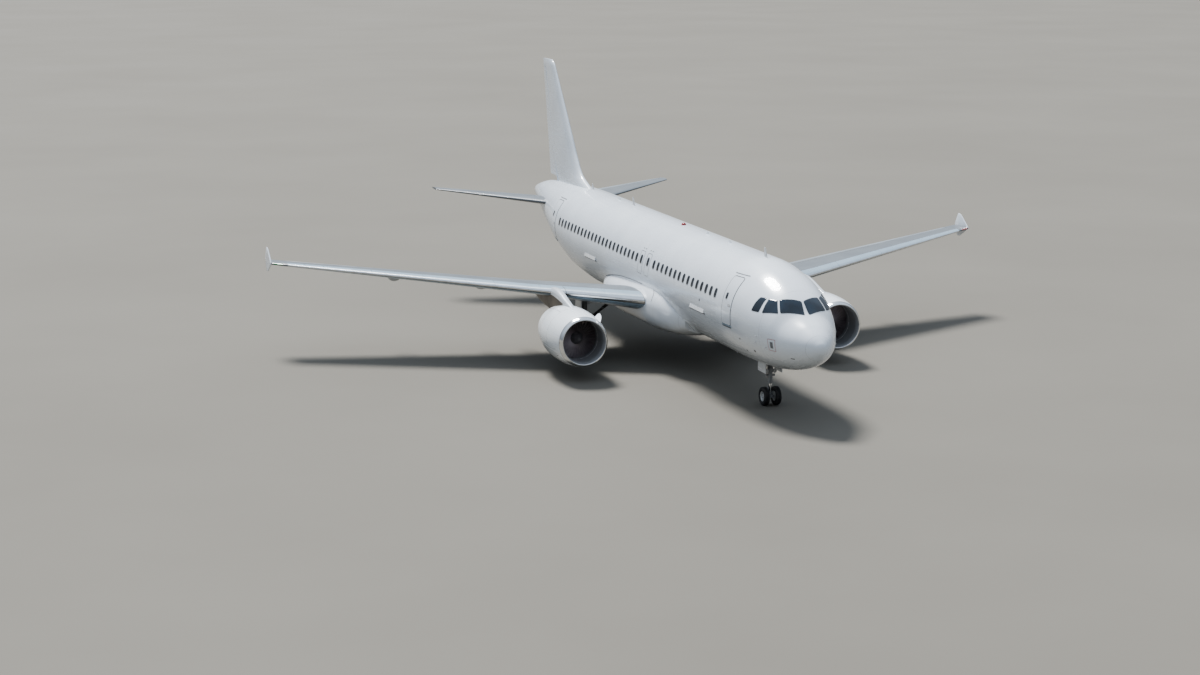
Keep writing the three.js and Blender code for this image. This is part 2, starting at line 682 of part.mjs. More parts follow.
// Fuselage barrels with their doors and windows
function addFuselage() {
  const glassBlock = (grow) => sidePlate(
    GLASS_OUTLINE.map(([station, z]) => [
      station + Math.sign(station - GLASS_MIDDLE[0]) * grow * 2,
      z + Math.sign(z - GLASS_MIDDLE[1]) * grow * 2,
    ]), -BIG / 4, BIG / 4,
  );
  const bayY = [yOf(NOSE_BAY.from), yOf(NOSE_BAY.to)];
  let nose = barrel(RADOME_END + SEAT, NOSE_END);
  nose = nose.subtract(pocket(glassBlock(SEAT), ...GLASS_SPAN, GLASS_THICKNESS + SEAT));
  nose = nose.subtract(box(-NOSE_BAY.halfWidth, NOSE_BAY.halfWidth, ...bayY, 0, NOSE_BAY.top));
  let tail = barrel(REAR_END + SEAT, TAIL_END);
  tail = tail.subtract(barrel(TAIL_BAY.start, TAIL_END + PAST, -TAIL_BAY.wall));
  for (const side of [1, -1]) {
    const label = side > 0 ? 'left' : 'right';
    const [front, rear] = CABIN_DOORS.map((door) => cabinDoor(door, side));
    nose = nose.subtract(front.pocket);
    tail = tail.subtract(rear.pocket);
    add(`${CABIN_DOORS[0].name}_${label}`, front.panel, 'white');
    add(`${CABIN_DOORS[1].name}_${label}`, rear.panel, 'white');
  }
  add('radome', barrel(0, RADOME_END), 'white');
  add('nose_fuselage', nose.add(jackPad(NOSE_PAD)), 'white');
  const glazing = panel(glassBlock(0), ...GLASS_SPAN, GLASS_THICKNESS);
  add('cockpit_glazing', largest(glazing), 'glass');
  const barrels = [
    barrel(NOSE_END + SEAT, FRONT_END), barrel(FRONT_END + SEAT, REAR_END),
  ];
  HOLDS.forEach((hold, i) => {
    const { leaf, hole, bosses } = cargoDoor(hold);
    barrels[i] = union([barrels[i].subtract(holdSpace(hold)).subtract(hole), ...bosses]);
    add(hold.name, leaf, 'white');
  });
  add('front_fuselage', barrels[0], 'white');
  add('rear_fuselage', barrels[1], 'white');
  add('tail_fuselage', tail, 'white');
  const exhaustZ = (BODY_ROWS[BODY_ROWS.length - 1].top + BODY_ROWS[BODY_ROWS.length - 1].bottom) / 2;
  const exhaust = bar(
    vector(0, yOf(EXHAUST.start), exhaustZ), vector(0, yOf(LENGTH) + PAST, exhaustZ),
    EXHAUST.radius, EXHAUST.sides,
  );
  add('tail_cone', barrel(TAIL_END + SEAT, LENGTH).subtract(exhaust), 'white');
}

const fairingBlock = (grow) => loft(
  FAIRING_ROWS.map((row) => ovalRing(row, FAIRING_SIDES, grow, FAIRING_POWER)),
);

function addWings() {
  const fairing = largest(fairingBlock(0).subtract(skinGrown));
  add('belly_fairing', fairing, 'white');
  const whole = liftingSurface(WING_ROWS);
  const cutRoot = (solid) => solid.subtract(skinGrown).subtract(fairingBlock(SEAT));
  const { moving, rest } = hingedOn(WING_ROWS, whole, AILERON);
  let wing = rest;
  for (const slat of SLATS) {
    wing = wing.subtract(slatRegion(slat, SEAT));
    addBoth(slat.name, largest(cutRoot(rest.intersect(slatRegion(slat, 0)))), 'grey');
  }
  let tracks = union(TRACK_FAIRINGS.map(trackFairing));
  for (const flap of FLAPS) {
    wing = wing.subtract(flapRegion(flap, SEAT));
    addBoth(flap.name, largest(cutRoot(rest.intersect(flapRegion(flap, 0)))), 'grey');
    tracks = tracks.subtract(liftingSurface(WING_ROWS, 6).intersect(flapRegion(flap, 6)));
  }
  wing = largest(cutRoot(wing).add(tracks).add(jackPad(WING_PAD)));
  addBoth('wing', wing, 'grey');
  addBoth('aileron', moving, 'grey');
  const fenceX = [SPAN / 2 - FENCE_THICKNESS, SPAN / 2];
  addBoth('wing_fence', sidePlate(FENCE_OUTLINE, ...fenceX), 'white');
}

function addTail() {
  const whole = loft(FIN_ROWS.map((row) => aerofoil(row, finPoint)));
  const { foot, head } = RUDDER;
  const { moving, rest } = controlSurface(
    whole, vector(0, yOf(foot.station), foot.z), vector(0, yOf(head.station), head.z),
    foot.radius, head.radius, vector(1, 0, 0),
  );
  add('fin', largest(rest.subtract(skinGrown)), 'white');
  add('rudder', largest(moving.subtract(barrel(0, LENGTH, RUDDER_FOOT_GAP))), 'white');
  const plane = liftingSurface(TAILPLANE_ROWS);
  const elevator = hingedOn(TAILPLANE_ROWS, plane, ELEVATOR);
  addBoth('tailplane', largest(elevator.rest.subtract(skinGrown)), 'grey');
  addBoth('elevator', elevator.moving, 'grey');
}

function fanBlades() {
  const centre = vector(ENGINE_X, yOf(FAN_STATION), ENGINE_Z);
  return Array.from({ length: FAN_BLADES }, (_, i) => {
    const angle = i * 2 * Math.PI / FAN_BLADES;
    const out = vector(Math.cos(angle), 0, Math.sin(angle));
    const around = vector(-Math.sin(angle), 0, Math.cos(angle));
    const ring = (radius, pitch) => {
      const chordwise = vector(0, 1, 0).multiplyScalar(Math.cos(degrees(pitch)))
        .addScaledVector(around, Math.sin(degrees(pitch)));
      const across = chordwise.clone().cross(out);
      const half = FAN_BLADE.width / 2;
      const t = FAN_BLADE.thickness / 2;
      return [[-half, -t], [half, -t], [half, t], [-half, t]].map(([c, n]) => centre.clone()
        .addScaledVector(out, radius).addScaledVector(chordwise, c).addScaledVector(across, n));
    };
    const tip = FAN_TIP_RADIUS - FAN_BLADE.tipGap;
    return loft([ring(FAN_BLADE.root, FAN_BLADE.rootPitch), ring(tip, FAN_BLADE.tipPitch)]);
  });
}

function addEngines() {
  const nacelle = turned(NACELLE_PROFILE, ENGINE_X, ENGINE_Z, ENGINE_SIDES);
  const grown = NACELLE_PROFILE.slice(0, COWL_POINTS).map(([station, radius]) => [station, radius + SEAT]);
  const [front, rear] = [grown[0][0], grown[COWL_POINTS - 1][0]];
  const solidNacelle = turned(
    [[front, 0], ...grown, [rear, 0]], ENGINE_X, ENGINE_Z, ENGINE_SIDES,
  );
  const core = turned(CORE_PROFILE, ENGINE_X, ENGINE_Z, CORE_SIDES);
  const struts = Array.from({ length: STRUT_COUNT }, (_, i) => {
    const angle = (i + 0.5) * 360 / STRUT_COUNT;
    const strut = box(
      STRUT.inner, STRUT.outer, yOf(STRUT.station) - STRUT.length / 2,
      yOf(STRUT.station) + STRUT.length / 2, -STRUT.thickness / 2, STRUT.thickness / 2,
    );
    return strut.rotate([0, angle, 0]).translate([ENGINE_X, 0, ENGINE_Z]);
  });
  const ducted = union([core, ...struts]).subtract(turned(
    NACELLE_PROFILE.map(([station, radius], i) => [station, radius + (i < COWL_POINTS ? SEAT : -SEAT)]),
    ENGINE_X, ENGINE_Z, ENGINE_SIDES,
  ));
  const coreGrown = turned(
    CORE_PROFILE.map(([station, radius]) => [station, radius && radius + SEAT * 2]),
    ENGINE_X, ENGINE_Z, CORE_SIDES,
  );
  const pylon = pod(PYLON_ROWS, ENGINE_X, PYLON_SIDES, PYLON_POWER)
    .subtract(solidNacelle).subtract(coreGrown).subtract(liftingSurface(WING_ROWS, SEAT));
  const fan = union([turned(FAN_PROFILE, ENGINE_X, ENGINE_Z, CORE_SIDES), ...fanBlades()]);
  addBoth('nacelle', nacelle, 'white');
  addBoth('engine_core', largest(ducted), 'core');
  addBoth('fan', fan, 'fan');
  addBoth('pylon', largest(pylon), 'silver');
}

function axleBore(x, y, z) {
  const radius = AXLE_RADIUS + AXLE_CLEARANCE;
  return bar(vector(x - BORE_HALF, y, z), vector(x + BORE_HALF, y, z), radius, AXLE_SIDES);
}

function addNoseGear() {
  const y = yOf(NOSE_GEAR.station);
  const axleZ = NOSE_GEAR.tyreRadius * Math.cos(Math.PI / NOSE_TYRE_SIDES);
  const bayTop = NOSE_BAY.top - SEAT;
  const reach = NOSE_BAY.halfWidth - SEAT;
  const trunnion = bar(
    vector(-reach, y, NOSE_TRUNNION.z), vector(reach, y, NOSE_TRUNNION.z), NOSE_TRUNNION.radius,
  );
  const { inset } = NOSE_DRAG_STAY;
  const drag = bar(
    vector(0, y - inset, NOSE_DRAG_STAY.foot),
    vector(0, yOf(NOSE_BAY.from) + inset, bayTop - NOSE_DRAG_STAY.drop), NOSE_DRAG_STAY.radius, 8,
  );
  const leg = union([
    bar(vector(0, y, NOSE_LEG.foot), vector(0, y, bayTop), NOSE_LEG.radius, 16), trunnion, drag,
  ]);
  add('nose_leg', leg, 'gear');
  const swivelTop = NOSE_LEG.foot - SEAT;
  const piston = bar(vector(0, y, axleZ), vector(0, y, swivelTop), NOSE_LEG.pistonRadius, 16);
  const boss = bar(
    vector(-NOSE_AXLE_BEAM.half, y, axleZ), vector(NOSE_AXLE_BEAM.half, y, axleZ),
    NOSE_AXLE_BEAM.radius, 16,
  );
  const towPad = box(
    -TOW_PAD.half, TOW_PAD.half, y - TOW_PAD.reach, y, axleZ - TOW_PAD.height, axleZ + TOW_PAD.height,
  );
  const link = box(
    -NOSE_LINK.half, NOSE_LINK.half, y + NOSE_LINK.front, y + NOSE_LINK.rear,
    axleZ + NOSE_LINK.foot, axleZ + NOSE_LINK.top,
  );
  const bore = axleBore(0, y, axleZ);
  add('nose_steering', union([piston, boss, towPad, link]).subtract(bore), 'gear');
  add('nose_wheel_hubs', wheelPair(0, y, axleZ, NOSE_GEAR, NOSE_TYRE_SIDES), 'gear');
  for (const [label, side] of [['left', 1], ['right', -1]]) {
    add(`nose_tyre_${label}`, tyre(
      side * NOSE_GEAR.spacing / 2, axleZ, y, NOSE_GEAR.tyreRadius, NOSE_GEAR.tyreWidth,
      NOSE_GEAR.rim, NOSE_TYRE_SIDES,
    ), 'rubber');
  }
  const door = box(
    NOSE_DOOR.x, NOSE_DOOR.x + NOSE_DOOR.thickness, yOf(NOSE_DOOR.from), yOf(NOSE_DOOR.to),
    NOSE_DOOR.foot, NOSE_DOOR.top,
  );
  addBoth('nose_gear_door', door.subtract(skinGrown), 'white');
}

function addMainGear() {
  const y = yOf(MAIN_GEAR.station);
  const { x } = MAIN_GEAR;
  const axleZ = MAIN_GEAR.tyreRadius * Math.cos(Math.PI / MAIN_TYRE_SIDES);
  const head = vector(x - MAIN_LEG.lean, y, MAIN_LEG.top);
  const stay = SIDE_STAY;
  const solids = [
    bar(vector(x, y, MAIN_LEG.foot), head, MAIN_LEG.radius, 16),
    bar(vector(x, y, axleZ), vector(x, y, MAIN_LEG.pistonTop), MAIN_LEG.pistonRadius),
    bar(
      vector(x - MAIN_AXLE_BEAM.half, y, axleZ), vector(x + MAIN_AXLE_BEAM.half, y, axleZ),
      MAIN_AXLE_BEAM.radius, 16,
    ),
    bar(vector(stay.lowX, y, stay.lowZ), vector(stay.highX, y, stay.highZ), stay.radius, 8),
    box(
      x - MAIN_LINK.half, x + MAIN_LINK.half, y + MAIN_LINK.front, y + MAIN_LINK.rear,
      axleZ + MAIN_LINK.foot, axleZ + MAIN_LINK.top,
    ),
    bar(
      vector(x, y + MAIN_LINK_BAR.footY, axleZ + MAIN_LINK_BAR.footZ),
      vector(x, y + MAIN_LINK_BAR.headY, MAIN_LINK_BAR.headZ), MAIN_LINK_BAR.radius, 8,
    ),
    ...LEG_BRACKETS.map((z) => box(
      x, LEG_DOOR.x - SEAT, y - BRACKET_HALF, y + BRACKET_HALF, z - BRACKET_HALF, z + BRACKET_HALF,
    )),
  ];
  const bore = axleBore(x, y, axleZ);
  const wingGrown = liftingSurface(WING_ROWS, SEAT);
  const trim = (solid) => solid.subtract(wingGrown).subtract(fairingBlock(SEAT));
  addBoth('main_leg', largest(trim(union(solids)).subtract(bore)), 'gear');
  const door = box(
    LEG_DOOR.x, LEG_DOOR.x + LEG_DOOR.thickness, yOf(LEG_DOOR.from), yOf(LEG_DOOR.to),
    LEG_DOOR.foot, LEG_DOOR.top,
  );
  addBoth('main_leg_door', largest(door.subtract(wingGrown)), 'white');
  addBoth('main_wheel_hubs', wheelPair(x, y, axleZ, MAIN_GEAR, MAIN_TYRE_SIDES), 'gear');
  for (const [label, side] of [['inner', -1], ['outer', 1]]) {
    addBoth(`main_tyre_${label}`, tyre(
      x + side * MAIN_GEAR.spacing / 2, axleZ, y, MAIN_GEAR.tyreRadius, MAIN_GEAR.tyreWidth,
      MAIN_GEAR.rim, MAIN_TYRE_SIDES,
    ), 'rubber');
  }
}

addFuselage();
addWings();
addTail();
addEngines();
addNoseGear();
addMainGear();

export default airliner;
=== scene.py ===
"""Looks of the single-aisle jet airliner: smooth skins, glazing, engines, landing gear and fittings.

Metres, +Z up, the nose towards -Y and the port side +X. A station is a distance from the nose tip.
Pieces that are alike on both sides are built for the port side and mirrored.
"""

import math

import bmesh
import bpy
import numpy as np
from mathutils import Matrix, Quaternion, Vector


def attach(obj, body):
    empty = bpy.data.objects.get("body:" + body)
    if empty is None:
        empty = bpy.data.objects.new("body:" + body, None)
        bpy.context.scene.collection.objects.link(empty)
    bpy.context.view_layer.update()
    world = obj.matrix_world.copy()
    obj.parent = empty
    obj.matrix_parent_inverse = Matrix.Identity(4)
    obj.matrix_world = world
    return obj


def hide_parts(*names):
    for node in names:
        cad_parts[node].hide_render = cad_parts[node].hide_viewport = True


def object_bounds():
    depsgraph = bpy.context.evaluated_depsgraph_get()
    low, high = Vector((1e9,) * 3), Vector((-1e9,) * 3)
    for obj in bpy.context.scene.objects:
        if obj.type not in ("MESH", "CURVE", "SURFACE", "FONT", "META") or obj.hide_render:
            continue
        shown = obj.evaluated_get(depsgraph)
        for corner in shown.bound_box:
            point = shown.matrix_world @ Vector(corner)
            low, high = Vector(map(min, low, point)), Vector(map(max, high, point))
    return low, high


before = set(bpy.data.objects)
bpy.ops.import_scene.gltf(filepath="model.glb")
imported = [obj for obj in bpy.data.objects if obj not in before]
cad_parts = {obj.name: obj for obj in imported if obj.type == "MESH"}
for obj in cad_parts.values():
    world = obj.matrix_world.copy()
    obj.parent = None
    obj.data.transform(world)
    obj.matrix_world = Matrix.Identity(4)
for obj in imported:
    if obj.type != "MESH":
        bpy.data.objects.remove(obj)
CAD_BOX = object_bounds()

NOSE_Y = CAD_BOX[0].y
PORT, STARBOARD = 1, -1
SIDES = {"left": PORT, "right": STARBOARD}

# Fuselage: station, half width, bottom, top
BODY_ROWS = [
    (0, 0.06, 3.15, 3.27), (0.1, 0.27, 2.94, 3.45), (0.35, 0.54, 2.69, 3.68), (0.8, 0.85, 2.43, 3.945),
    (1.5, 1.22, 2.17, 4.29), (2.0, 1.43, 2.04, 4.75), (3.0, 1.71, 1.88, 5.29), (4.2, 1.89, 1.79, 5.67),
    (6.0, 1.975, 1.74, 5.88), (24.0, 1.975, 1.74, 5.88), (26.5, 1.955, 1.9, 5.88),
    (29.0, 1.8, 2.38, 5.87), (32.0, 1.38, 3.22, 5.78), (35.0, 0.82, 4.02, 5.56),
    (37.0, 0.39, 4.46, 5.18), (37.57, 0.24, 4.56, 5.02),
]
BODY_SIDES = 128
BODY_STEP, NOSE_STEP = 0.16, 0.045
NOSE_END, TAIL_CONE_START, TAIL_END = 6.4, 36.5, 37.57
# Lengths of skin: name, replaced node, start, end
SECTIONS = [
    ("radome", "radome", 0.0, 1.05), ("nose", "nose_fuselage", 1.05, NOSE_END),
    ("front", "front_fuselage", NOSE_END, 16.9), ("rear", "rear_fuselage", 16.9, 27.0),
    ("tail", "tail_fuselage", 27.0, TAIL_CONE_START),
]
SKIN_DEPTH = 0.09
EXHAUST_RADIUS, EXHAUST_DEPTH, HOT_END_LENGTH = 0.165, 0.6, 0.24

# Cabin windows: runs of (first station, last station, count), and their shape
WINDOW_RUNS = [(6.32, 13.76, 15), (16.03, 27.75, 23)]
EXIT_STATIONS = (14.54, 15.41)
WINDOW_SHAPE = (4.44, 0.255, 0.37, 0.105, 0.05)
EXIT_SHAPE = (4.315, 0.52, 0.93, 0.1, 0.08)

# Cabin doors: name, station, sill, top, window station and height
CABIN_DOORS = [
    ("front", 5.02, 3.4, 5.25, 5.16, 4.51), ("rear", 29.0, 3.45, 5.3, 29.12, 4.66),
]
DOOR_WIDTH = 0.81

# Holds and their doors on the starboard side: name, door station, hold start and end
HOLDS = [("front", 8.22, 6.95, 11.4), ("rear", 22.5, 20.5, 25.0)]
HOLD_WALL, HOLD_FLOOR, HOLD_CEILING = 0.13, 2.15, 3.3
CARGO_HINGE = (-1.945, 3.4)
CARGO_REACH = 1.61
CARGO_WIDTH = 1.82
CARGO_GAP = 0.01
CARGO_KNUCKLES = 7

# Cockpit panes on the starboard side: corners as (x, station, z)
PANES = [
    [(-0.775, 2.321, 4.751), (-0.918, 1.875, 4.32), (-0.103, 1.472, 4.273), (-0.046, 1.949, 4.702)],
    [(-1.071, 2.667, 4.751), (-0.858, 2.358, 4.726), (-1.006, 1.937, 4.306), (-1.416, 2.536, 4.258)],
    [
        (-1.268, 3.058, 4.765), (-1.13, 2.775, 4.755), (-1.482, 2.72, 4.261), (-1.615, 3.142, 4.261),
        (-1.452, 3.119, 4.562),
    ],
]

# Belly fairing: station, half width, bottom, top. Its seams, and a dark line of painted shade along its lower
# edge, are rows of (station, z)
FAIRING_ROWS = [
    (10.9, 1.5, 1.85, 3.0), (11.7, 1.96, 1.64, 3.3), (12.7, 2.22, 1.5, 3.62), (14.0, 2.33, 1.43, 3.7),
    (17.5, 2.33, 1.42, 3.5), (19.5, 2.2, 1.48, 3.35), (20.7, 1.9, 1.64, 3.2), (21.6, 1.45, 1.88, 3.0),
]
FAIRING_POWER = 0.75
FILLET_SEAM_UPPER = [
    (20.71, 2.87), (20.2, 2.98), (19.59, 3.09), (19.1, 3.16), (18.65, 3.22), (18.1, 3.28), (17.67, 3.31),
    (17.2, 3.33), (16.85, 3.345), (16.4, 3.365), (15.97, 3.38), (15.5, 3.385), (15.16, 3.38),
]
FILLET_SEAM_FRONT = [
    (14.75, 3.375), (14.48, 3.356), (14.15, 3.33), (13.83, 3.29), (13.58, 3.22), (13.39, 3.13),
    (13.26, 3.02), (13.18, 2.9), (13.13, 2.76),
]
KEEL_SHADE_LINE = [(11.9 + 0.15 * k, 1.87 + 0.05 * ((0.15 * k - 1.0) / 1.9) ** 2) for k in range(21)]

# Wing and tailplane: x, leading and trailing edge stations, z, twist, thickness
TIP_X = 17.05
FENCE_THICKNESS = 0.06
WING_ROWS = [
    (1.7, 13.29, 19.9, 2.66, 4.0, 0.15), (6.4, 15.81, 19.85, 3.16, 2.2, 0.125),
    (TIP_X - FENCE_THICKNESS, 21.48, 22.93, 4.075, 0.5, 0.11),
]
TAILPLANE_ROWS = [(0.5, 31.15, 34.9, 4.77, 0, 0.1), (6.225, 34.88, 35.91, 5.34, 0, 0.1)]
WING_ROOT, WING_END = WING_ROWS[0][0], WING_ROWS[-1][0]
TWIST_SHARE = 0.4
SKIN_GAP, HINGE_GAP = 0.004, 0.012
HINGE_NOSE_SHARE = 0.98

# Moving surfaces: (name, start, end) along the span, or start, end and share of the chord
SLATS = [("slat_inner", 2.33, 5.34), ("slat_outer", 5.36, 16.35)]
SLAT_ROOT_SHARE, SLAT_TIP_SHARE = 0.105, 0.19
SLAT_JOINTS = (8.1, 10.9, 13.65)
STRIP_SHARES = (0.012, 0.006, 0.002, 0.0002)
LEADING_STRIP = [(share, 1) for share in STRIP_SHARES] + [(share, -1) for share in reversed(STRIP_SHARES)]
FLAPS = [("flap_inner", 2.42, 6.39), ("flap_outer", 6.4, 13.28)]
FLAP_SHARE, FLAPS_MEET = 0.77, 6.395
AILERON = (13.3, 16.2, 0.74)
AILERON_CUT = (13.29, 16.212)
DISCHARGERS = (13.6, 14.6, 15.6, 16.0)
ELEVATOR = (1.33, 6.05, 0.69)
SPOILERS = [(2.6, 6.3, 0.635), (6.5, 8.0, 0.66), (8.05, 9.6, 0.66), (9.65, 11.2, 0.66), (11.25, 12.8, 0.66)]
FENCE_OUTLINE = [(21.46, 4.08), (22.3, 4.66), (22.62, 4.7), (22.96, 4.12), (22.7, 3.57), (22.4, 3.59)]
FENCE_MIDDLE = (0, 22.3, 4.1)
# Flap tracks: x, start, end, depth, half width
TRACKS = [(6.3, 17.2, 20.9, 0.33, 0.19), (8.1, 17.7, 21.1, 0.3, 0.17), (11.75, 19.2, 22.1, 0.26, 0.15)]

# Fin: z, leading and trailing edge stations, half thickness. Its first rows are the fillet
FIN_ROWS = [
    (5.5, 27.3, 35.23, 0.25), (5.98, 28.9, 35.34, 0.255), (6.3, 29.9, 35.41, 0.255),
    (6.98, 30.7, 35.56, 0.25), (8.12, 31.65, 35.81, 0.22), (11.6, 34.6, 36.57, 0.1),
    (11.76, 34.95, 36.6, 0.06),
]
FIN_FOOT, FIN_TOP = FIN_ROWS[0][0], FIN_ROWS[-1][0]
# The rudder's hinge line: station, z, nose radius
RUDDER_FOOT = (33.78, 5.9, 0.165)
RUDDER_HEAD = (35.98, 11.35, 0.068)
RUDDER_FOOT_GAP = 0.04

# Engine, port side: profiles are (station, radius)
ENGINE_X, ENGINE_Z = 5.75, 1.72
COWL_PROFILE = [
    (11.75, 1.102), (12.3, 1.165), (13.1, 1.19), (13.9, 1.155), (14.5, 1.055), (15.0, 0.955),
]
COWL_JOINTS, COWL_LATCHES, COWL_SPLIT_END, COWL_VENT = (12.95, 13.95), (12.2, 13.0, 13.8), 14.9, 12.05
LIP_SEAM = 11.55
LIP_PROFILE = [
    (11.62, 0.868), (11.45, 0.892), (11.37, 0.925), (11.35, 0.95), (11.37, 0.985), (11.45, 1.03),
    (11.6, 1.073), (11.75, 1.102),
]
# Points drawn polished behind the lip's edge; further inside, the bare metal is drawn grey as painted
# reflection.
LIP_POLISHED_POINTS = 7
DUCT_PROFILE = [
    (15.0, 0.935), (14.5, 0.95), (13.4, 0.93), (12.74, 0.88), (12.1, 0.88), (11.62, 0.868),
]
CORE_CASE = [(12.76, 0.4), (13.3, 0.56), (14.3, 0.64), (15.0, 0.6), (15.7, 0.43)]
CORE_PLUG = [(15.5, 0.33), (15.85, 0.18), (16.15, 0.05), (16.17, 0.0)]
SPINNER_PROFILE = [(12.13, 0.0), (12.15, 0.05), (12.25, 0.135), (12.42, 0.235), (12.64, 0.3), (12.73, 0.3)]
FAN_STATION, FAN_FOOT, FAN_TIP, FAN_BLADES = 12.54, 0.27, 0.864, 36
GUIDE_VANES, STRUTS = 44, 6
VANE_SECTION = ((-0.09, 0.0), (-0.03, 0.011), (0.06, 0.008), (0.12, 0.0), (0.06, -0.004), (-0.03, -0.004))
# The strake's height over its length
STRAKE = [
    (0, 0.01), (0.1, 0.06), (0.3, 0.15), (0.55, 0.22), (0.8, 0.255), (0.95, 0.25), (0.985, 0.22), (1, 0.16),
]
STRAKE_START, STRAKE_LENGTH, STRAKE_ANGLE = 11.8, 0.95, 138
# Pylon: station, half width, bottom, top
PYLON_ROWS = [
    (12.64, 0.06, 2.7, 2.83), (13.6, 0.15, 2.5, 3.06), (15.3, 0.21, 2.29, 3.38),
    (16.3, 0.21, 2.38, 3.3), (17.7, 0.17, 2.5, 3.2), (19.0, 0.06, 2.79, 3.15),
]
# Where the pylon's bare titanium starts: a station and a share of its height. Below it the titanium is
# darkened with painted shade.
PYLON_SHADED_BARE_START, PYLON_SHADED_BARE_LEVEL = 13.9, 0.74

# Landing gear. Tyres: width, rim radius
NOSE_GEAR_STATION, NOSE_TYRE, NOSE_AXLE_Z = 5.07, (0.224, 0.19), 0.3777
NOSE_SPACING = 0.5
NOSE_BAY = (0.3, 4.55, 5.6, 2.45)
NOSE_DOOR = (0.335, 0.03, 1.37, 4.7, 5.5)
MAIN_GEAR_STATION, MAIN_TYRE, MAIN_AXLE_Z = 17.71, (0.43, 0.265), 0.5664
MAIN_X, MAIN_SPACING = 3.795, 0.927
LEG_DOOR = (4.01, 0.035, 17.25, 18.15, 1.26)
# Hoses of a main leg: places beside and behind it, with their heights
MAIN_HOSES = [
    [
        (0.1, 0.12, 2.5), (0.12, 0.15, 1.9), (0.12, 0.16, 1.3), (0.1, 0.22, 1.0), (0.14, 0.16, 0.8),
        (0.17, 0.1, 0.68),
    ],
    [
        (-0.09, 0.12, 2.4), (-0.11, 0.15, 1.8), (-0.11, 0.16, 1.25), (-0.12, 0.23, 0.98), (-0.15, 0.16, 0.78),
        (-0.18, 0.1, 0.68),
    ],
]
# Tyre shoulder and tread: share of the half width, and share of the height or depth below the radius
SIDEWALL = [(0.86, 0.22), (0.97, 0.45), (1.0, 0.6), (0.95, 0.8), (0.82, 0.93)]
TREAD = [
    (0.55, 0.0), (0.42, 0.0), (0.4, -0.012), (0.36, -0.012), (0.34, 0.0), (0.15, 0.0), (0.13, -0.012),
    (0.09, -0.012), (0.07, 0.0),
]
# Hub: place across in hub half widths, share of the rim radius, and a step added to it
HUB_SECTION = [
    (-1, 0, 0.06), (-1, 0.5, 0), (-0.9, 0.93, 0), (-1.25, 1, 0.004), (-1.35, 1, 0.012), (-1.3, 1, -0.008),
    (-0.8, 1, -0.01), (0.8, 1, -0.01), (1.3, 1, -0.008), (1.35, 1, 0.012), (1.25, 0.985, 0), (0.95, 0.9, 0),
    (0.55, 0.82, 0), (0.5, 0.5, 0), (0.62, 0.36, 0), (1, 0.33, 0),
]

# Light: the sky by height, and the floor
SKY = [(0.0, (0.27, 0.295, 0.33)), (0.18, (0.38, 0.42, 0.475)), (0.75, (0.86, 0.98, 1.14))]
SKY_STRENGTH, KEY_ENERGY, KEY_ANGLE, KEY_TURN = 0.62, 4.3, 16, (-30.5, -5.5)
EXPOSURE = 0.35
FLOOR_REACH = 2500

# Camera, fitted to the photograph's viewing angle
CAMERA_PLACE = (-33.408, -95.185, 19.767)
CAMERA_AZIMUTH, CAMERA_DROP, CAMERA_ROLL = -17.887, 10.965, 0.129
CAMERA_FOCAL_PIXELS, IMAGE_WIDTH = 2256.1, 1200
SENSOR_WIDTH = 36.0


def linspace(start, end, count):
    """Evenly spaced plain numbers from start to end."""
    return [start + (end - start) * i / (count - 1) for i in range(count)]


def y_of(station):
    return NOSE_Y + station


def turns(count, first=0.0):
    """The cosine and sine of angles evenly spaced round a circle."""
    angles = [2 * math.pi * (i + first) / count for i in range(count)]
    return [(math.cos(angle), math.sin(angle)) for angle in angles]


def direction(degrees):
    return math.cos(math.radians(degrees)), math.sin(math.radians(degrees))


def bulge(value, power):
    return math.copysign(abs(value) ** power, value)


def monotone(xs, ys):
    """A smooth curve through points that never swings past them."""
    xs, ys = np.array(xs, float), np.array(ys, float)
    steps = np.diff(xs)
    slopes = np.diff(ys) / steps
    tangents = np.zeros_like(ys)
    tangents[0], tangents[-1] = slopes[0], slopes[-1]
    for i in range(1, len(xs) - 1):
        before, after = slopes[i - 1], slopes[i]
        if before * after > 0:
            w1 = 2 * steps[i] + steps[i - 1]
            w2 = steps[i] + 2 * steps[i - 1]
            tangents[i] = (w1 + w2) / (w1 / before + w2 / after)

    def at(x):
        i = int(np.clip(np.searchsorted(xs, x) - 1, 0, len(steps) - 1))
        t = (min(max(x, xs[0]), xs[-1]) - xs[i]) / steps[i]
        h00, h10 = (1 + 2 * t) * (1 - t) ** 2, t * (1 - t) ** 2
        h01, h11 = t * t * (3 - 2 * t), t * t * (t - 1)
        tangent = steps[i] * (h10 * tangents[i] + h11 * tangents[i + 1])
        return float(h00 * ys[i] + h01 * ys[i + 1] + tangent)

    return at


def laws_of(rows, place=float):
    """Smooth curves for columns 1 to 3 of the rows, over their first column."""
    return [monotone([place(row[0]) for row in rows], [row[k] for row in rows]) for k in (1, 2, 3)]


def curve(points, steps):
    """Catmull-Rom curve through vectors or arrays."""
    ends = [2 * points[0] - points[1], *points, 2 * points[-1] - points[-2]]
    out = []
    for a, b, c, d in zip(ends, ends[1:], ends[2:], ends[3:]):
        for k in range(steps):
            t = k / steps
            bend = (2 * a - 5 * b + 4 * c - d) * t * t
            out.append(0.5 * (2 * b + (c - a) * t + bend + (3 * b - a - 3 * c + d) * t**3))
    return [*out, points[-1]]


def spline(points, steps=8):
    """Catmull-Rom curve through 2-D points."""
    return [tuple(float(v) for v in p) for p in curve([np.array(p, float) for p in points], steps)]


def between(rows, at):
    """Straight-line value between rows of (place, value)."""
    return float(np.interp(at, *zip(*rows)))


def joined(ring):
    """Each point of a closed ring with the ones before and after it."""
    return zip([ring[-1], *ring], ring, [*ring[1:], ring[0]])


def in_scene(name, data):
    made = bpy.data.objects.new(name, data)
    bpy.context.scene.collection.objects.link(made)
    return made


# Materials


def shader_of(mat):
    return mat.node_tree.nodes["Principled BSDF"]


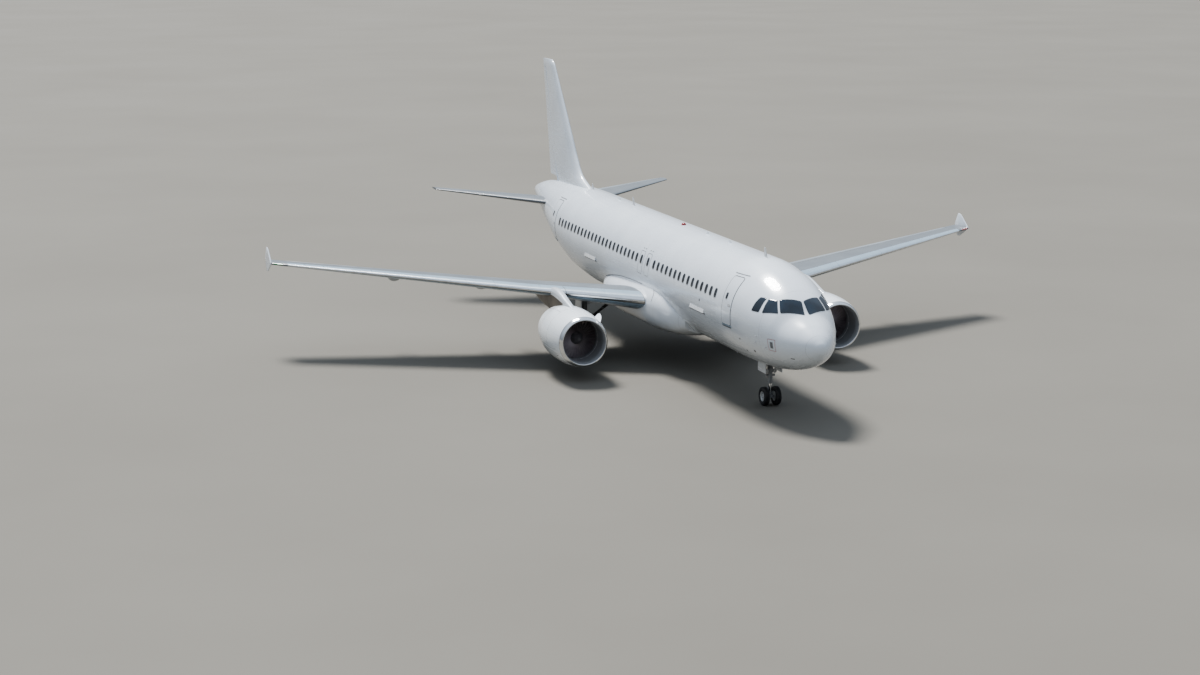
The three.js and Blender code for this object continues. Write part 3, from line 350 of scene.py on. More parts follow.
def new_material(name, color, rough, metal=0.0, coat=0.0):
    mat = bpy.data.materials.new(name)
    mat.use_nodes = True
    for key, value in (
        ("Base Color", (*color, 1)), ("Roughness", rough), ("Metallic", metal), ("Coat Weight", coat),
        ("Coat Roughness", 0.05),
    ):
        shader_of(mat).inputs[key].default_value = value
    return mat


def link(mat, source, target):
    mat.node_tree.links.new(source, target)


def node(mat, kind, **values):
    made = mat.node_tree.nodes.new(kind)
    for key, value in values.items():
        if key in made.inputs:
            made.inputs[key].default_value = value
        else:
            setattr(made, key, value)
    return made


def object_place(mat, stretch=(1, 1, 1)):
    place = node(mat, "ShaderNodeTexCoord")
    mapping = node(mat, "ShaderNodeMapping", Scale=stretch)
    link(mat, place.outputs["Object"], mapping.inputs["Vector"])
    return mapping.outputs["Vector"]


def height_of(mat, vector):
    parts = node(mat, "ShaderNodeSeparateXYZ")
    link(mat, vector, parts.inputs[0])
    return parts.outputs[2]


def noise(mat, vector, scale, detail=4.0, rough=0.55):
    made = node(mat, "ShaderNodeTexNoise", Scale=scale, Detail=detail, Roughness=rough)
    link(mat, vector, made.inputs["Vector"])
    return made.outputs["Fac"]


def ramp(mat, factor, stops):
    made = node(mat, "ShaderNodeValToRGB")
    elements = made.color_ramp.elements
    while len(elements) < len(stops):
        elements.new(0.5)
    for element, (at, color) in zip(elements, stops):
        element.position = at
        element.color = (*color, 1)
    link(mat, factor, made.inputs["Fac"])
    return made.outputs["Color"]


def fill_socket(mat, socket, value):
    """Sets a colour or number, or links an output."""
    if isinstance(value, tuple):
        socket.default_value = (*value, 1)
    elif isinstance(value, (int, float)):
        socket.default_value = value
    else:
        link(mat, value, socket)


def math_node(mat, operation, *values):
    made = node(mat, "ShaderNodeMath", operation=operation)
    for socket, value in zip(made.inputs, values):
        fill_socket(mat, socket, value)
    return made.outputs[0]


def mixed(mat, factor, a, b, blend="MIX"):
    made = node(mat, "ShaderNodeMix", data_type="RGBA", blend_type=blend)
    for socket, value in ((made.inputs[0], factor), (made.inputs[6], a), (made.inputs[7], b)):
        fill_socket(mat, socket, value)
    return made.outputs[2]


def colored(mat, color):
    link(mat, color, shader_of(mat).inputs["Base Color"])


def map_range(mat, factor, **ends):
    made = node(mat, "ShaderNodeMapRange", **ends)
    link(mat, factor, made.inputs["Value"])
    return made.outputs["Result"]


def spread_rough(mat, factor, low, high):
    link(mat, map_range(mat, factor, **{"To Min": low, "To Max": high}), shader_of(mat).inputs["Roughness"])


def bumped(mat, height, strength, distance):
    made = node(mat, "ShaderNodeBump", Strength=strength, Distance=distance)
    link(mat, height, made.inputs["Height"])
    link(mat, made.outputs["Normal"], shader_of(mat).inputs["Normal"])


def line_mask(mat, vector, axis, pitch, width, offset=0.0):
    """1 on thin lines that repeat along an axis."""
    parts = node(mat, "ShaderNodeSeparateXYZ")
    link(mat, vector, parts.inputs[0])
    place = math_node(mat, "MULTIPLY_ADD", parts.outputs[axis], 1 / pitch, offset)
    apart = math_node(mat, "ABSOLUTE", math_node(mat, "SUBTRACT", math_node(mat, "FRACT", place), 0.5))
    return math_node(mat, "LESS_THAN", apart, width / pitch / 2)


def gloss_paint(name, light, dark, rough=(0.2, 0.34), lines=None, low_tint=None, coat=0.5):
    """Gloss paint with slight patches, faint panel joints and a warmer, darker tint in streaks towards the
    bottom.
    """
    mat = new_material(name, light, rough[0], coat=coat)
    place = object_place(mat)
    color = ramp(mat, noise(mat, place, 0.55, 5), [(0.35, dark), (0.62, light)])
    streaks = noise(mat, object_place(mat, (2.2, 0.12, 2.2)), 1.6, 6, 0.6)
    # Warmer and darker towards the bottom, in streaks.
    if low_tint:
        tint, low, high = low_tint
        band = map_range(mat, height_of(mat, place), **{"From Min": high, "From Max": low})
        color = mixed(mat, math_node(mat, "MULTIPLY", band, streaks), color, tint, "MULTIPLY")
    if lines:
        shade, joint = lines
        mask = math_node(mat, "MULTIPLY", line_mask(mat, place, *joint), 0.5)
        color = mixed(mat, mask, color, shade)
    colored(mat, color)
    spread_rough(mat, streaks, *rough)
    bumped(mat, noise(mat, place, 1.1, 2), 0.05, 0.02)
    return mat


def metal(name, color, rough, stretch, grain, bump, tint=None):
    """Bare metal with a drawn grain and, for hot parts, a tint in patches."""
    mat = new_material(name, color, rough, 1.0)
    grain_at = noise(mat, object_place(mat, stretch), grain, 4)
    other = tint or tuple(c * 0.86 for c in color)
    colored(mat, ramp(mat, noise(mat, object_place(mat), 3, 4), [(0.35, other), (0.65, color)]))
    spread_rough(mat, grain_at, max(rough - 0.05, 0.03), rough + 0.1)
    bumped(mat, grain_at, bump, 0.001)
    return mat


def satin(name, light, dark, rough, scale, bump, metallic=0.0):
    mat = new_material(name, light, rough[0], metallic)
    place = object_place(mat)
    colored(mat, ramp(mat, noise(mat, place, scale, 6), [(0.34, dark), (0.66, light)]))
    spread_rough(mat, noise(mat, place, scale * 3, 4), *rough)
    bumped(mat, noise(mat, place, scale * 25, 3), bump, 0.001)
    return mat


def rubber(name):
    mat = satin(name, (0.028, 0.028, 0.03), (0.014, 0.014, 0.015), (0.6, 0.85), 9, 0.4)
    dust = ramp(mat, noise(mat, object_place(mat), 5, 6), [(0.45, (0, 0, 0)), (0.8, (0.06, 0.055, 0.05))])
    base = shader_of(mat).inputs["Base Color"].links[0].from_socket
    colored(mat, mixed(mat, 1.0, base, dust, "ADD"))
    return mat


def tinted_glass(name, color, rough=(0.02, 0.09), coat=1.0):
    mat = new_material(name, color, rough[0], coat=coat)
    shader_of(mat).inputs["IOR"].default_value = 1.52
    place = object_place(mat)
    deep = tuple(c * 0.45 for c in color)
    colored(mat, ramp(mat, noise(mat, place, 1.5, 3), [(0.35, deep), (0.7, color)]))
    spread_rough(mat, noise(mat, place, 8, 3), *rough)
    return mat


# White paint, with a blue cast painted in as sky reflection.
WHITE = gloss_paint(
    "white_gloss_paint", (0.765, 0.812, 0.865), (0.715, 0.762, 0.817),
    lines=((0.45, 0.47, 0.5), (1, 2.12, 0.016, 0.2)), low_tint=((0.7, 0.66, 0.6), 1.7, 3.6),
)
# The fairing's white is the fuselage white darkened as painted shade.
FAIRING_WHITE_SHADED = gloss_paint(
    "fairing_gloss_paint_shaded", (0.715, 0.75, 0.79), (0.665, 0.7, 0.74), (0.26, 0.42),
    lines=((0.4, 0.4, 0.4), (1, 1.65, 0.014, 0.1)), low_tint=((0.66, 0.62, 0.56), 1.3, 2.8),
)
COWL_WHITE = gloss_paint(
    "cowl_gloss_paint", (0.83, 0.865, 0.895), (0.78, 0.815, 0.845), low_tint=((0.7, 0.66, 0.6), 0.5, 1.6),
)
WING_GREY = gloss_paint(
    "wing_grey_paint", (0.175, 0.195, 0.215), (0.148, 0.165, 0.183), (0.3, 0.44), coat=0.15,
    lines=((0.11, 0.12, 0.132), (0, 1.45, 0.012, 0.3)),
)
SLAT_GREY = gloss_paint("slat_pale_paint", (0.32, 0.4, 0.47), (0.28, 0.36, 0.43), (0.22, 0.36), coat=0.25)
FLAP_GREY = gloss_paint(
    "flap_pale_paint", (0.27, 0.305, 0.335), (0.235, 0.265, 0.295), (0.28, 0.44), coat=0.15,
    lines=((0.16, 0.18, 0.2), (0, 1.9, 0.01, 0.1)),
)
BRIGHT_STRIP = satin("bright_strip", (0.88, 0.89, 0.9), (0.8, 0.81, 0.82), (0.2, 0.35), 4, 0.05, 0.2)
SILVER_PAINT = satin("silver_paint", (0.78, 0.81, 0.84), (0.7, 0.73, 0.76), (0.16, 0.28), 1.2, 0.01, 0.35)
# The pylon's lower side: bare titanium, darkened further as painted shade.
PYLON_SIDE_SHADED = satin("pylon_side_titanium_shaded", (0.2, 0.175, 0.15), (0.13, 0.115, 0.1), (0.35, 0.5), 1.6, 0.02, 0.7)
POLISHED = metal("polished_lip_metal", (0.86, 0.87, 0.88), 0.1, (1, 8, 1), 20, 0.01)
HOT_METAL = metal("heat_tinted_metal", (0.42, 0.38, 0.34), 0.34, (1, 6, 1), 30, 0.03, (0.3, 0.24, 0.19))
FAN_METAL = metal("fan_titanium", (0.5, 0.44, 0.46), 0.42, (4, 1, 4), 12, 0.03, (0.36, 0.31, 0.33))
SPINNER_PAINT = satin("spinner_paint", (0.17, 0.16, 0.17), (0.12, 0.115, 0.12), (0.25, 0.4), 8, 0.1)
# The lip is bare metal inside as at its edge: this grey satin is a painted reflection.
LIP_INSIDE_REFLECTION = satin("lip_inside_painted_reflection", (0.4, 0.41, 0.43), (0.34, 0.35, 0.365), (0.4, 0.55), 20, 0.1, 0.3)
DARK_METAL = metal("dark_cavity_metal", (0.05, 0.05, 0.055), 0.5, (1, 1, 1), 12, 0.05)
CHROME = metal("chromed_piston", (0.8, 0.81, 0.82), 0.07, (1, 1, 20), 12, 0.005)
# The gear's enamel is light grey; this mid grey darkens it as painted shade.
GEAR_GREY_SHADED = satin("gear_grey_enamel_shaded", (0.3, 0.31, 0.32), (0.2, 0.205, 0.21), (0.3, 0.5), 5, 0.1)
# Near black on the side stays and their actuator is painted shadow over the gear's grey enamel.
GEAR_SHADOW_DARK = satin("gear_enamel_painted_shadow", (0.1, 0.1, 0.1), (0.06, 0.06, 0.06), (0.35, 0.5), 6, 0.1)
HUB_PAINT = satin("hub_enamel", (0.6, 0.61, 0.61), (0.5, 0.5, 0.5), (0.3, 0.45), 8, 0.08, 0.2)
BRAKE_METAL = satin("brake_carbon", (0.09, 0.085, 0.08), (0.05, 0.05, 0.05), (0.5, 0.7), 12, 0.3, 0.5)
TYRE = rubber("tyre_rubber")
SEAL = satin("dark_seal", (0.07, 0.068, 0.066), (0.045, 0.044, 0.043), (0.5, 0.7), 10, 0.3)
BROWN_SEAL = satin("brown_seal", (0.1, 0.075, 0.055), (0.06, 0.047, 0.037), (0.5, 0.7), 8, 0.3)
GROOVE = satin("panel_gap", (0.22, 0.225, 0.235), (0.15, 0.155, 0.16), (0.5, 0.7), 10, 0.1)
FRAME_GREY = satin("window_surround", (0.6, 0.61, 0.62), (0.5, 0.51, 0.52), (0.3, 0.45), 9, 0.1)
CABIN_GLASS = tinted_glass("cabin_window", (0.03, 0.035, 0.043), (0.16, 0.3), 0.15)
COCKPIT_GLASS = tinted_glass("cockpit_glass", (0.012, 0.028, 0.05), coat=0.55)
DUCT_LINER = satin("acoustic_liner", (0.34, 0.35, 0.36), (0.28, 0.29, 0.3), (0.4, 0.55), 30, 0.3, 0.3)
BAY_PAINT = satin("bay_primer", (0.3, 0.31, 0.27), (0.2, 0.21, 0.18), (0.5, 0.7), 7, 0.2)
LINER = satin("hold_liner", (0.5, 0.52, 0.5), (0.42, 0.44, 0.42), (0.4, 0.6), 3, 0.15)
LINER_FLOOR = satin("hold_floor_sheet", (0.33, 0.34, 0.35), (0.24, 0.25, 0.26), (0.35, 0.55), 4, 0.2, 0.6)
PLACARD_RED = satin("placard_outline", (0.55, 0.3, 0.3), (0.45, 0.24, 0.24), (0.4, 0.5), 9, 0.05)
RED_LENS = tinted_glass("red_lens", (0.45, 0.02, 0.02))
GREEN_LENS = tinted_glass("green_lens", (0.02, 0.3, 0.12))
CLEAR_LENS = tinted_glass("clear_lens", (0.55, 0.57, 0.58))


# Mesh building


def round_ring(centre, radius, along, side, sides):
    """A circle of points about a centre, square to a direction."""
    other = along.cross(side)
    return [centre + radius * (c * side + s * other) for c, s in turns(sides)]


class Builder:
    """Collects faces of one piece. Each face has a material of its own."""

    def __init__(self, side=PORT):
        self.side = side
        self.points = []
        self.faces = []
        self.materials = []
        self.face_materials = []

    def material_index(self, mat):
        if mat not in self.materials:
            self.materials.append(mat)
        return self.materials.index(mat)

    def add(self, points, faces, mat):
        start = len(self.points)
        self.points += [(p[0] * self.side, p[1], p[2]) for p in points]
        self.faces += [[start + i for i in face] for face in faces]
        self.face_materials += [self.material_index(mat)] * len(faces)

    def cap(self, ring, mat):
        self.add(ring, [tuple(range(len(ring)))], mat)

    def loft(self, rings, mat, closed=True, caps=True):
        """A skin over rings with the same count. closed joins each ring's ends."""
        count = len(rings[0])
        points = [p for ring in rings for p in ring]
        faces = []
        around = count if closed else count - 1
        for row in range(len(rings) - 1):
            for i in range(around):
                a, b = row * count + i, row * count + (i + 1) % count
                faces.append((a, b, b + count, a + count))
        if caps and closed:
            last = (len(rings) - 1) * count
            faces.append(tuple(range(count))[::-1])
            faces.append(tuple(range(last, last + count)))
        self.add(points, faces, mat)

    def lathe(self, profile, mat, centre, sides, axis="y"):
        """Turned about a line along Y through (x, z), or along X through (y, z)."""
        rings = []
        for at, radius in profile:
            ring = [(centre[0] + radius * c, centre[1] + radius * s) for c, s in turns(sides)]
            rings.append([(a, at, b) if axis == "y" else (at, a, b) for a, b in ring])
        self.loft(rings, mat, caps=False)

    def tube(self, start, end, radius, mat, sides=28, end_radius=None, bevel=0.12):
        """A bar with slightly rounded ends."""
        start, end = Vector(start), Vector(end)
        along = (end - start).normalized()
        side = along.orthogonal().normalized()
        end_radius = radius if end_radius is None else end_radius
        cut = bevel * min(radius, end_radius)
        self.loft([round_ring(centre, r, along, side, sides) for centre, r in (
            (start, radius - cut), (start + along * cut, radius), (end - along * cut, end_radius),
            (end, end_radius - cut),
        )], mat)

    def tubes(self, *rows):
        for row in rows:
            self.tube(*row)

    def hose(self, points, radius, mat, sides=8, steps=6):
        """A thin round line along a smooth path."""
        places = curve([Vector(p) for p in points], steps)
        rings = []
        for before, here, after in zip([places[0], *places], places, [*places[1:], places[-1]]):
            along = (after - before).normalized()
            side = along.cross(Vector((0.31, 0.52, 0.79))).normalized()
            rings.append(round_ring(here, radius, along, side, sides))
        self.loft(rings, mat)

    def block(self, low, high, mat, bevel=0.01):
        """A box with bevelled edges."""
        made = bmesh.new()
        bmesh.ops.create_cube(made, size=1)
        low, high = Vector(low), Vector(high)
        for vert in made.verts:
            vert.co = Vector(low[k] + (high[k] - low[k]) * (vert.co[k] + 0.5) for k in range(3))
        self.add_bevelled(made, mat, bevel)

    def plate(self, outline, thickness, mat, bevel):
        """A flat plate from a closed outline of points, thickened along its own normal."""
        made = bmesh.new()
        verts = [made.verts.new(p) for p in outline]
        face = made.faces.new(verts)
        made.normal_update()
        lift = face.normal * thickness / 2
        out = bmesh.ops.extrude_face_region(made, geom=[face])
        moved = [v for v in out["geom"] if isinstance(v, bmesh.types.BMVert)]
        for vert in moved:
            vert.co += lift
        for vert in verts:
            vert.co -= lift
        bmesh.ops.recalc_face_normals(made, faces=made.faces[:])
        self.add_bevelled(made, mat, bevel)

    def add_bevelled(self, made, mat, bevel):
        bmesh.ops.bevel(made, geom=made.edges[:], offset=bevel, segments=2, affect="EDGES", profile=0.5)
        made.verts.index_update()
        self.add([v.co[:] for v in made.verts], [[v.index for v in f.verts] for f in made.faces], mat)
        made.free()

    def mesh(self, name):
        made = bpy.data.meshes.new(name)
        made.from_pydata([tuple(p) for p in self.points], [], self.faces)
        for mat in self.materials:
            made.materials.append(mat)
        made.polygons.foreach_set("material_index", self.face_materials)
        return made

    def finish(self, name, body, slot, replaces=(), outward=None, angle=38, cutters=()):
        """Makes the piece. outward gives the direction that an open skin faces at a point."""
        mesh = self.mesh(name)
        made = bmesh.new()
        made.from_mesh(mesh)
        bmesh.ops.remove_doubles(made, verts=made.verts[:], dist=1e-5)
        if outward is None:
            bmesh.ops.recalc_face_normals(made, faces=made.faces[:])
        else:
            wrong = [f for f in made.faces if f.normal.dot(outward(f.calc_center_median())) < 0]
            bmesh.ops.reverse_faces(made, faces=wrong)
        made.to_mesh(mesh)
        made.free()
        mesh.polygons.foreach_set("use_smooth", [True] * len(mesh.polygons))
        mesh.set_sharp_from_angle(angle=math.radians(angle))
        piece = in_scene(name, mesh)
        for cutter in cutters:
            cut_by(piece, cutter)
        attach(piece, body)
        if replaces:
            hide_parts(*replaces)


def cut_by(piece, cutter):
    """Cuts what a closed builder holds out of a closed piece."""
    tool = cutter.mesh("cutter")
    made = bmesh.new()
    made.from_mesh(tool)
    bmesh.ops.recalc_face_normals(made, faces=made.faces[:])
    made.to_mesh(tool)
    made.free()
    other = in_scene("cutter", tool)
    boolean = piece.modifiers.new("cut", "BOOLEAN")
    boolean.operation, boolean.solver, boolean.object = "DIFFERENCE", "EXACT", other
    boolean.material_mode = "TRANSFER"
    bpy.context.view_layer.update()
    graph = bpy.context.evaluated_depsgraph_get()
    result = bpy.data.meshes.new_from_object(piece.evaluated_get(graph))
    piece.modifiers.clear()
    piece.data = result
    bpy.data.objects.remove(other)


# Fuselage skin


class Oval:
    """A body of oval sections along Y."""

    def __init__(self, rows, power=1.0, law=math.sqrt):
        self.laws = laws_of(rows, law)
        self.law, self.power = law, power

    def row(self, station):
        half, bottom, top = (law(self.law(max(station, 0))) for law in self.laws)
        return half, (top + bottom) / 2, (top - bottom) / 2

    def at(self, station, angle, lift=0.0):
        half, middle, height = self.row(station)
        x = (half + lift) * bulge(math.cos(angle), self.power)
        return Vector((x, y_of(station), middle + (height + lift) * bulge(math.sin(angle), self.power)))

    def normal(self, station, angle):
        step = 0.01
        along = self.at(station + step, angle) - self.at(station - step, angle)
        around = self.at(station, angle + step) - self.at(station, angle - step)
        return around.cross(along).normalized() * -1

    def side_angle(self, station, z, side):
        _, middle, height = self.row(station)
        angle = math.asin(max(-1, min(1, (z - middle) / height)))
        return angle if side > 0 else math.pi - angle

    def side_point(self, station, z, side):
        return self.at(station, self.side_angle(station, z, side))

    def outward(self, point):
        """The direction that the skin faces near a point."""
        half, middle, height = self.row(point.y - NOSE_Y)
        return Vector((point.x / half**2, 0, (point.z - middle) / height**2))

    def project(self, point, lift):
        """The point of the skin beyond a point inside or near it, lifted off along the normal."""
        station = point.y - NOSE_Y
        half, middle, height = self.row(station)
        angle = math.atan2((point.z - middle) / height, point.x / half)
        return self.at(station, angle) + self.normal(station, angle) * lift

    def ring(self, station, sides=BODY_SIDES, lift=0.0):
        return [self.at(station, 2 * math.pi * k / sides, lift) for k in range(sides)]

    def rings(self, start, end, step, sides=BODY_SIDES, lift=0.0):
        count = max(2, round((end - start) / step))
        return [self.ring(station, sides, lift) for station in linspace(start, end, count + 1)]


BODY = Oval(BODY_ROWS)
FAIRING = Oval(FAIRING_ROWS, FAIRING_POWER, float)


def outside_body(point):
    half, middle, height = BODY.row(point[1] - NOSE_Y)
    return math.hypot(point[0] / half, (point[2] - middle) / height) > 0.985


def rounded(corners, radius, steps=5):
    """A closed outline with its corners rounded."""
    out = []
    for before, here, after in joined([Vector(c) for c in corners]):
        a, b = before - here, after - here
        start = here + a.normalized() * min(radius, a.length * 0.49)
        end = here + b.normalized() * min(radius, b.length * 0.49)
        for k in range(steps + 1):
            t = k / steps
            out.append(start * (1 - t) ** 2 + here * 2 * t * (1 - t) + end * t * t)
    return out


def box_outline(start, end, low, high, radius):
    """A rounded rectangle as (0, station, z)."""
    return rounded([(0, start, low), (0, end, low), (0, end, high), (0, start, high)], radius)


def filled_in(outline, most):
    """The outline with its long edges split."""
    out = []
    for a, b in zip(outline, [*outline[1:], outline[0]]):
        parts = max(1, math.ceil((b - a).length / most))
        out += [a.lerp(b, k / parts) for k in range(parts)]
    return out


def side_outline(side, station, z, width, height, radius, most=0.12):
    """A rounded rectangle on the side of the fuselage."""
    flat = box_outline(station - width / 2, station + width / 2, z - height / 2, z + height / 2, radius)
    return [BODY.side_point(p.y, p.z, side) for p in filled_in(flat, most)]


def side_line(side, places):
    return [BODY.side_point(station, z, side) for station, z in places]


def skin_patch(builder, outline, mat, lift, edge=0.0, rim=0.006):
    """A patch of skin inside a convex outline, lifted off it, with its rim lower."""
    centre = sum(outline, Vector()) / len(outline)
    reach = max((p - centre).length for p in outline)
    count = max(2, math.ceil(reach / 0.07))
    shares = [1.0, *((1 - rim / reach) * (1 - k / count) for k in range(count))]
    points = [
        BODY.project(centre.lerp(p, share), lift if k else edge)
        for k, share in enumerate(shares) for p in outline
    ]
    around = len(outline)
    faces = []
    for row in range(len(shares) - 1):
        for i in range(around):
            a, b = row * around + i, row * around + (i + 1) % around
            faces.append((a, b, b + around, a + around))
    last = len(points) - around
    faces += [(last + i, last + (i + 1) % around, len(points)) for i in range(around)]
    builder.add([*points, BODY.project(centre, lift)], faces, mat)


def skin_band(builder, outline, mat, width, lift):
    """A band of skin round a closed outline, from the outline outwards."""
    centre = sum(outline, Vector()) / len(outline)
    grown = []
    for before, here, after in joined(outline):
        along = (after - before).normalized()
        away = here - centre
        away -= along * away.dot(along)
        grown.append(here + away.normalized() * width)
    builder.loft([[BODY.project(p, lift) for p in ring] for ring in (outline, grown)], mat, caps=False)


def skin_stroke(builder, path, mat, width, lift, surface=BODY):
    """A thin open line painted on or laid over the skin."""
    rows = []
    for before, here, after in zip([path[0], *path], path, [*path[1:], path[-1]]):
        along = (after - before).normalized()
        across = along.cross(surface.outward(here).normalized()).normalized() * width / 2
        rows.append([surface.project(here - across, lift), surface.project(here + across, lift)])
    builder.loft(rows, mat, closed=False)


def side_panels(builder, side, *rows):
    """Rounded rectangles on the side: rows of a shape, a filling and a frame, each of these or None."""
    for shape, patch, band in rows:
        outline = side_outline(side, *shape)
        if patch:
            skin_patch(builder, outline, *patch)
        if band:
            skin_band(builder, outline, *band)


def cargo_low_angle(station):
    """The angle on the starboard skin where a drum about the cargo hinge meets it."""
    angle = BODY.side_angle(station, CARGO_HINGE[1], STARBOARD)
    while True:
        p = BODY.at(station, angle)
        if math.hypot(p.x - CARGO_HINGE[0], p.z - CARGO_HINGE[1]) >= CARGO_REACH:
            return angle
        angle += 0.002


def cargo_outline(door, inset):
    """The cargo door's rounded outline on the skin, as (0, station, z)."""
    half = CARGO_WIDTH / 2 - inset
    low = BODY.at(door, cargo_low_angle(door)).z + inset
    return filled_in(box_outline(door - half, door + half, low, CARGO_HINGE[1] - inset, 0.09), 0.07)


def fuselage_section(name, replaced, start, end):
    """A length of skin. Where a door or the nose bay opens it, it has walls and a cut-out."""
    cutters = []
    for _, door, _, _ in HOLDS:
        if start < door < end:
            cutter = Builder()
            ring = cargo_outline(door, -CARGO_GAP)
            cutter.loft([[(x, y_of(p.y), p.z) for p in ring] for x in (-2.4, -0.75)], SEAL)
            cutters.append(cutter)
    if start < NOSE_GEAR_STATION < end:
        half, bay_start, bay_end, top = NOSE_BAY
        cutter = Builder()
        cutter.block((-half, y_of(bay_start), 1), (half, y_of(bay_end), top), BAY_PAINT, 0.002)
        cutters.append(cutter)
    shell = Builder()
    outer = BODY.rings(start, end, NOSE_STEP if start < NOSE_END else BODY_STEP)
    if cutters:
        inner = BODY.rings(start + 0.001, end - 0.001, 0.6, lift=-SKIN_DEPTH)
        shell.loft([*outer, *reversed(inner), outer[0]], WHITE, caps=False)
    else:
        shell.loft(outer, WHITE, caps=start == 0)
    shell.finish(
        f"skin_{name}", "airframe", "white_paint", [replaced],
        outward=None if cutters or start == 0 else BODY.outward, cutters=cutters,
    )


def build_tail_end():
    """The tail cone with the auxiliary exhaust bored into it."""
    cone = Builder()
    split, inside = TAIL_END - HOT_END_LENGTH, TAIL_END - EXHAUST_DEPTH
    cone.loft(BODY.rings(TAIL_CONE_START, split, 0.05), WHITE, caps=False)
    cone.loft(BODY.rings(split, TAIL_END, 0.04), HOT_METAL, caps=False)
    middle = BODY.row(TAIL_END)[1]
    bore = [[(radius * c, y_of(at), middle + radius * s) for c, s in turns(BODY_SIDES)] for at, radius in (
        (TAIL_END, EXHAUST_RADIUS + 0.03), (TAIL_END, EXHAUST_RADIUS), (inside, EXHAUST_RADIUS * 0.95),
        (inside, 0.001),
    )]
    cone.loft([BODY.ring(TAIL_END), bore[0]], HOT_METAL, caps=False)
    cone.loft(bore, DARK_METAL, caps=False)
    cone.finish("skin_tail_cone", "airframe", "white_paint", ["tail_cone"])
    joint = Builder()
    rings = zip(BODY.rings(TAIL_CONE_START - 0.02, TAIL_CONE_START + 0.02, 0.02, 64), (0.001, 0.002, 0.001))
    joint.loft([[BODY.project(p, lift) for p in ring] for ring, lift in rings], GROOVE, caps=False)
    joint.finish("tail_cone_joint", "airframe", "core_metal", outward=BODY.outward)


def build_windows():
    stations = [at for run in WINDOW_RUNS for at in linspace(*run)] + list(EXIT_STATIONS)
    for label, side in SIDES.items():
        glass, frames = Builder(), Builder()
        for station in stations:
            outline = side_outline(side, station, *WINDOW_SHAPE)
            skin_patch(glass, outline, CABIN_GLASS, 0.005, 0.002)
            skin_band(frames, outline, FRAME_GREY, 0.016, 0.006)
        glass.finish(f"cabin_windows_{label}", "airframe", "cockpit_glass", outward=BODY.outward)
        frames.finish(f"cabin_window_frames_{label}", "airframe", "white_paint", outward=BODY.outward)


def build_cabin_door(name, station, sill, top, window_station, window_z, label, side):
    """A cabin door with its window, handle and vent, then its sill plate, step line and gutter."""
    middle, half = (top + sill) / 2, DOOR_WIDTH / 2
    door, trim = Builder(), Builder()
    side_panels(
        door, side,
        (
            (station, middle, DOOR_WIDTH, top - sill, 0.13, 0.08), (WHITE, 0.009, -0.004, 0.012),
            (SEAL, 0.032, 0.004),
        ),
        (
            (window_station, window_z, 0.17, 0.25, 0.075, 0.05), (CABIN_GLASS, 0.0135, 0.01),
            (FRAME_GREY, 0.018, 0.0145),
        ),
        ((station - 0.22, sill + 0.78, 0.2, 0.07, 0.03), (FRAME_GREY, 0.013, 0.01), (GROOVE, 0.01, 0.0135)),
        ((station + 0.2, middle + 0.25, 0.06, 0.06, 0.02), (GROOVE, 0.013, 0.01), None),
    )
    door.finish(
        f"cabin_door_{name}_{label}", "airframe", "white_paint", [f"passenger_door_{name}_{label}"],
        outward=BODY.outward,
    )
    plate = (station, sill - 0.035, DOOR_WIDTH + 0.06, 0.055, 0.015)
    side_panels(trim, side, (plate, (SLAT_GREY, 0.018, 0.002), None))
    for shares, z, mat, width, lift in (
        ((-1.05, -0.5, 0, 0.5, 1.05), sill - 0.075, SEAL, 0.06, 0.008),
        ((-1.3, -0.6, 0, 0.6, 1.3), top + 0.1, GROOVE, 0.03, 0.014),
    ):
        skin_stroke(trim, side_line(side, [(station + t * half, z) for t in shares]), mat, width, lift)
    trim.finish(f"door_trim_{name}_{label}", "airframe", "white_paint", outward=BODY.outward)


def build_exits():
    for label, side in SIDES.items():
        hatch = Builder()
        for station in EXIT_STATIONS:
            side_panels(hatch, side, ((station, *EXIT_SHAPE), None, (GROOVE, 0.018, 0.005)))
            for shift in (-0.13, 0.13):
                mark = (station + shift, 4.9, 0.11, 0.035, 0.01)
                side_panels(hatch, side, (mark, (GROOVE, 0.006, 0.003), None))
        hatch.finish(f"overwing_exit_lines_{label}", "airframe", "white_paint", outward=BODY.outward)


def build_cockpit():
    glass, frames = Builder(), Builder()
    for corners in PANES:
        for side in (PORT, STARBOARD):
            ends = [(-x * side, y_of(station), z) for x, station, z in corners]
            outline = filled_in(rounded(ends, 0.05, 4), 0.07)
            skin_patch(glass, outline, COCKPIT_GLASS, 0.007, 0.004)
            skin_band(frames, outline, SEAL, 0.014, 0.0085)
    glass.finish("cockpit_panes", "airframe", "cockpit_glass", ["cockpit_glazing"], outward=BODY.outward)
    frames.finish("cockpit_pane_frames", "airframe", "white_paint", outward=BODY.outward)


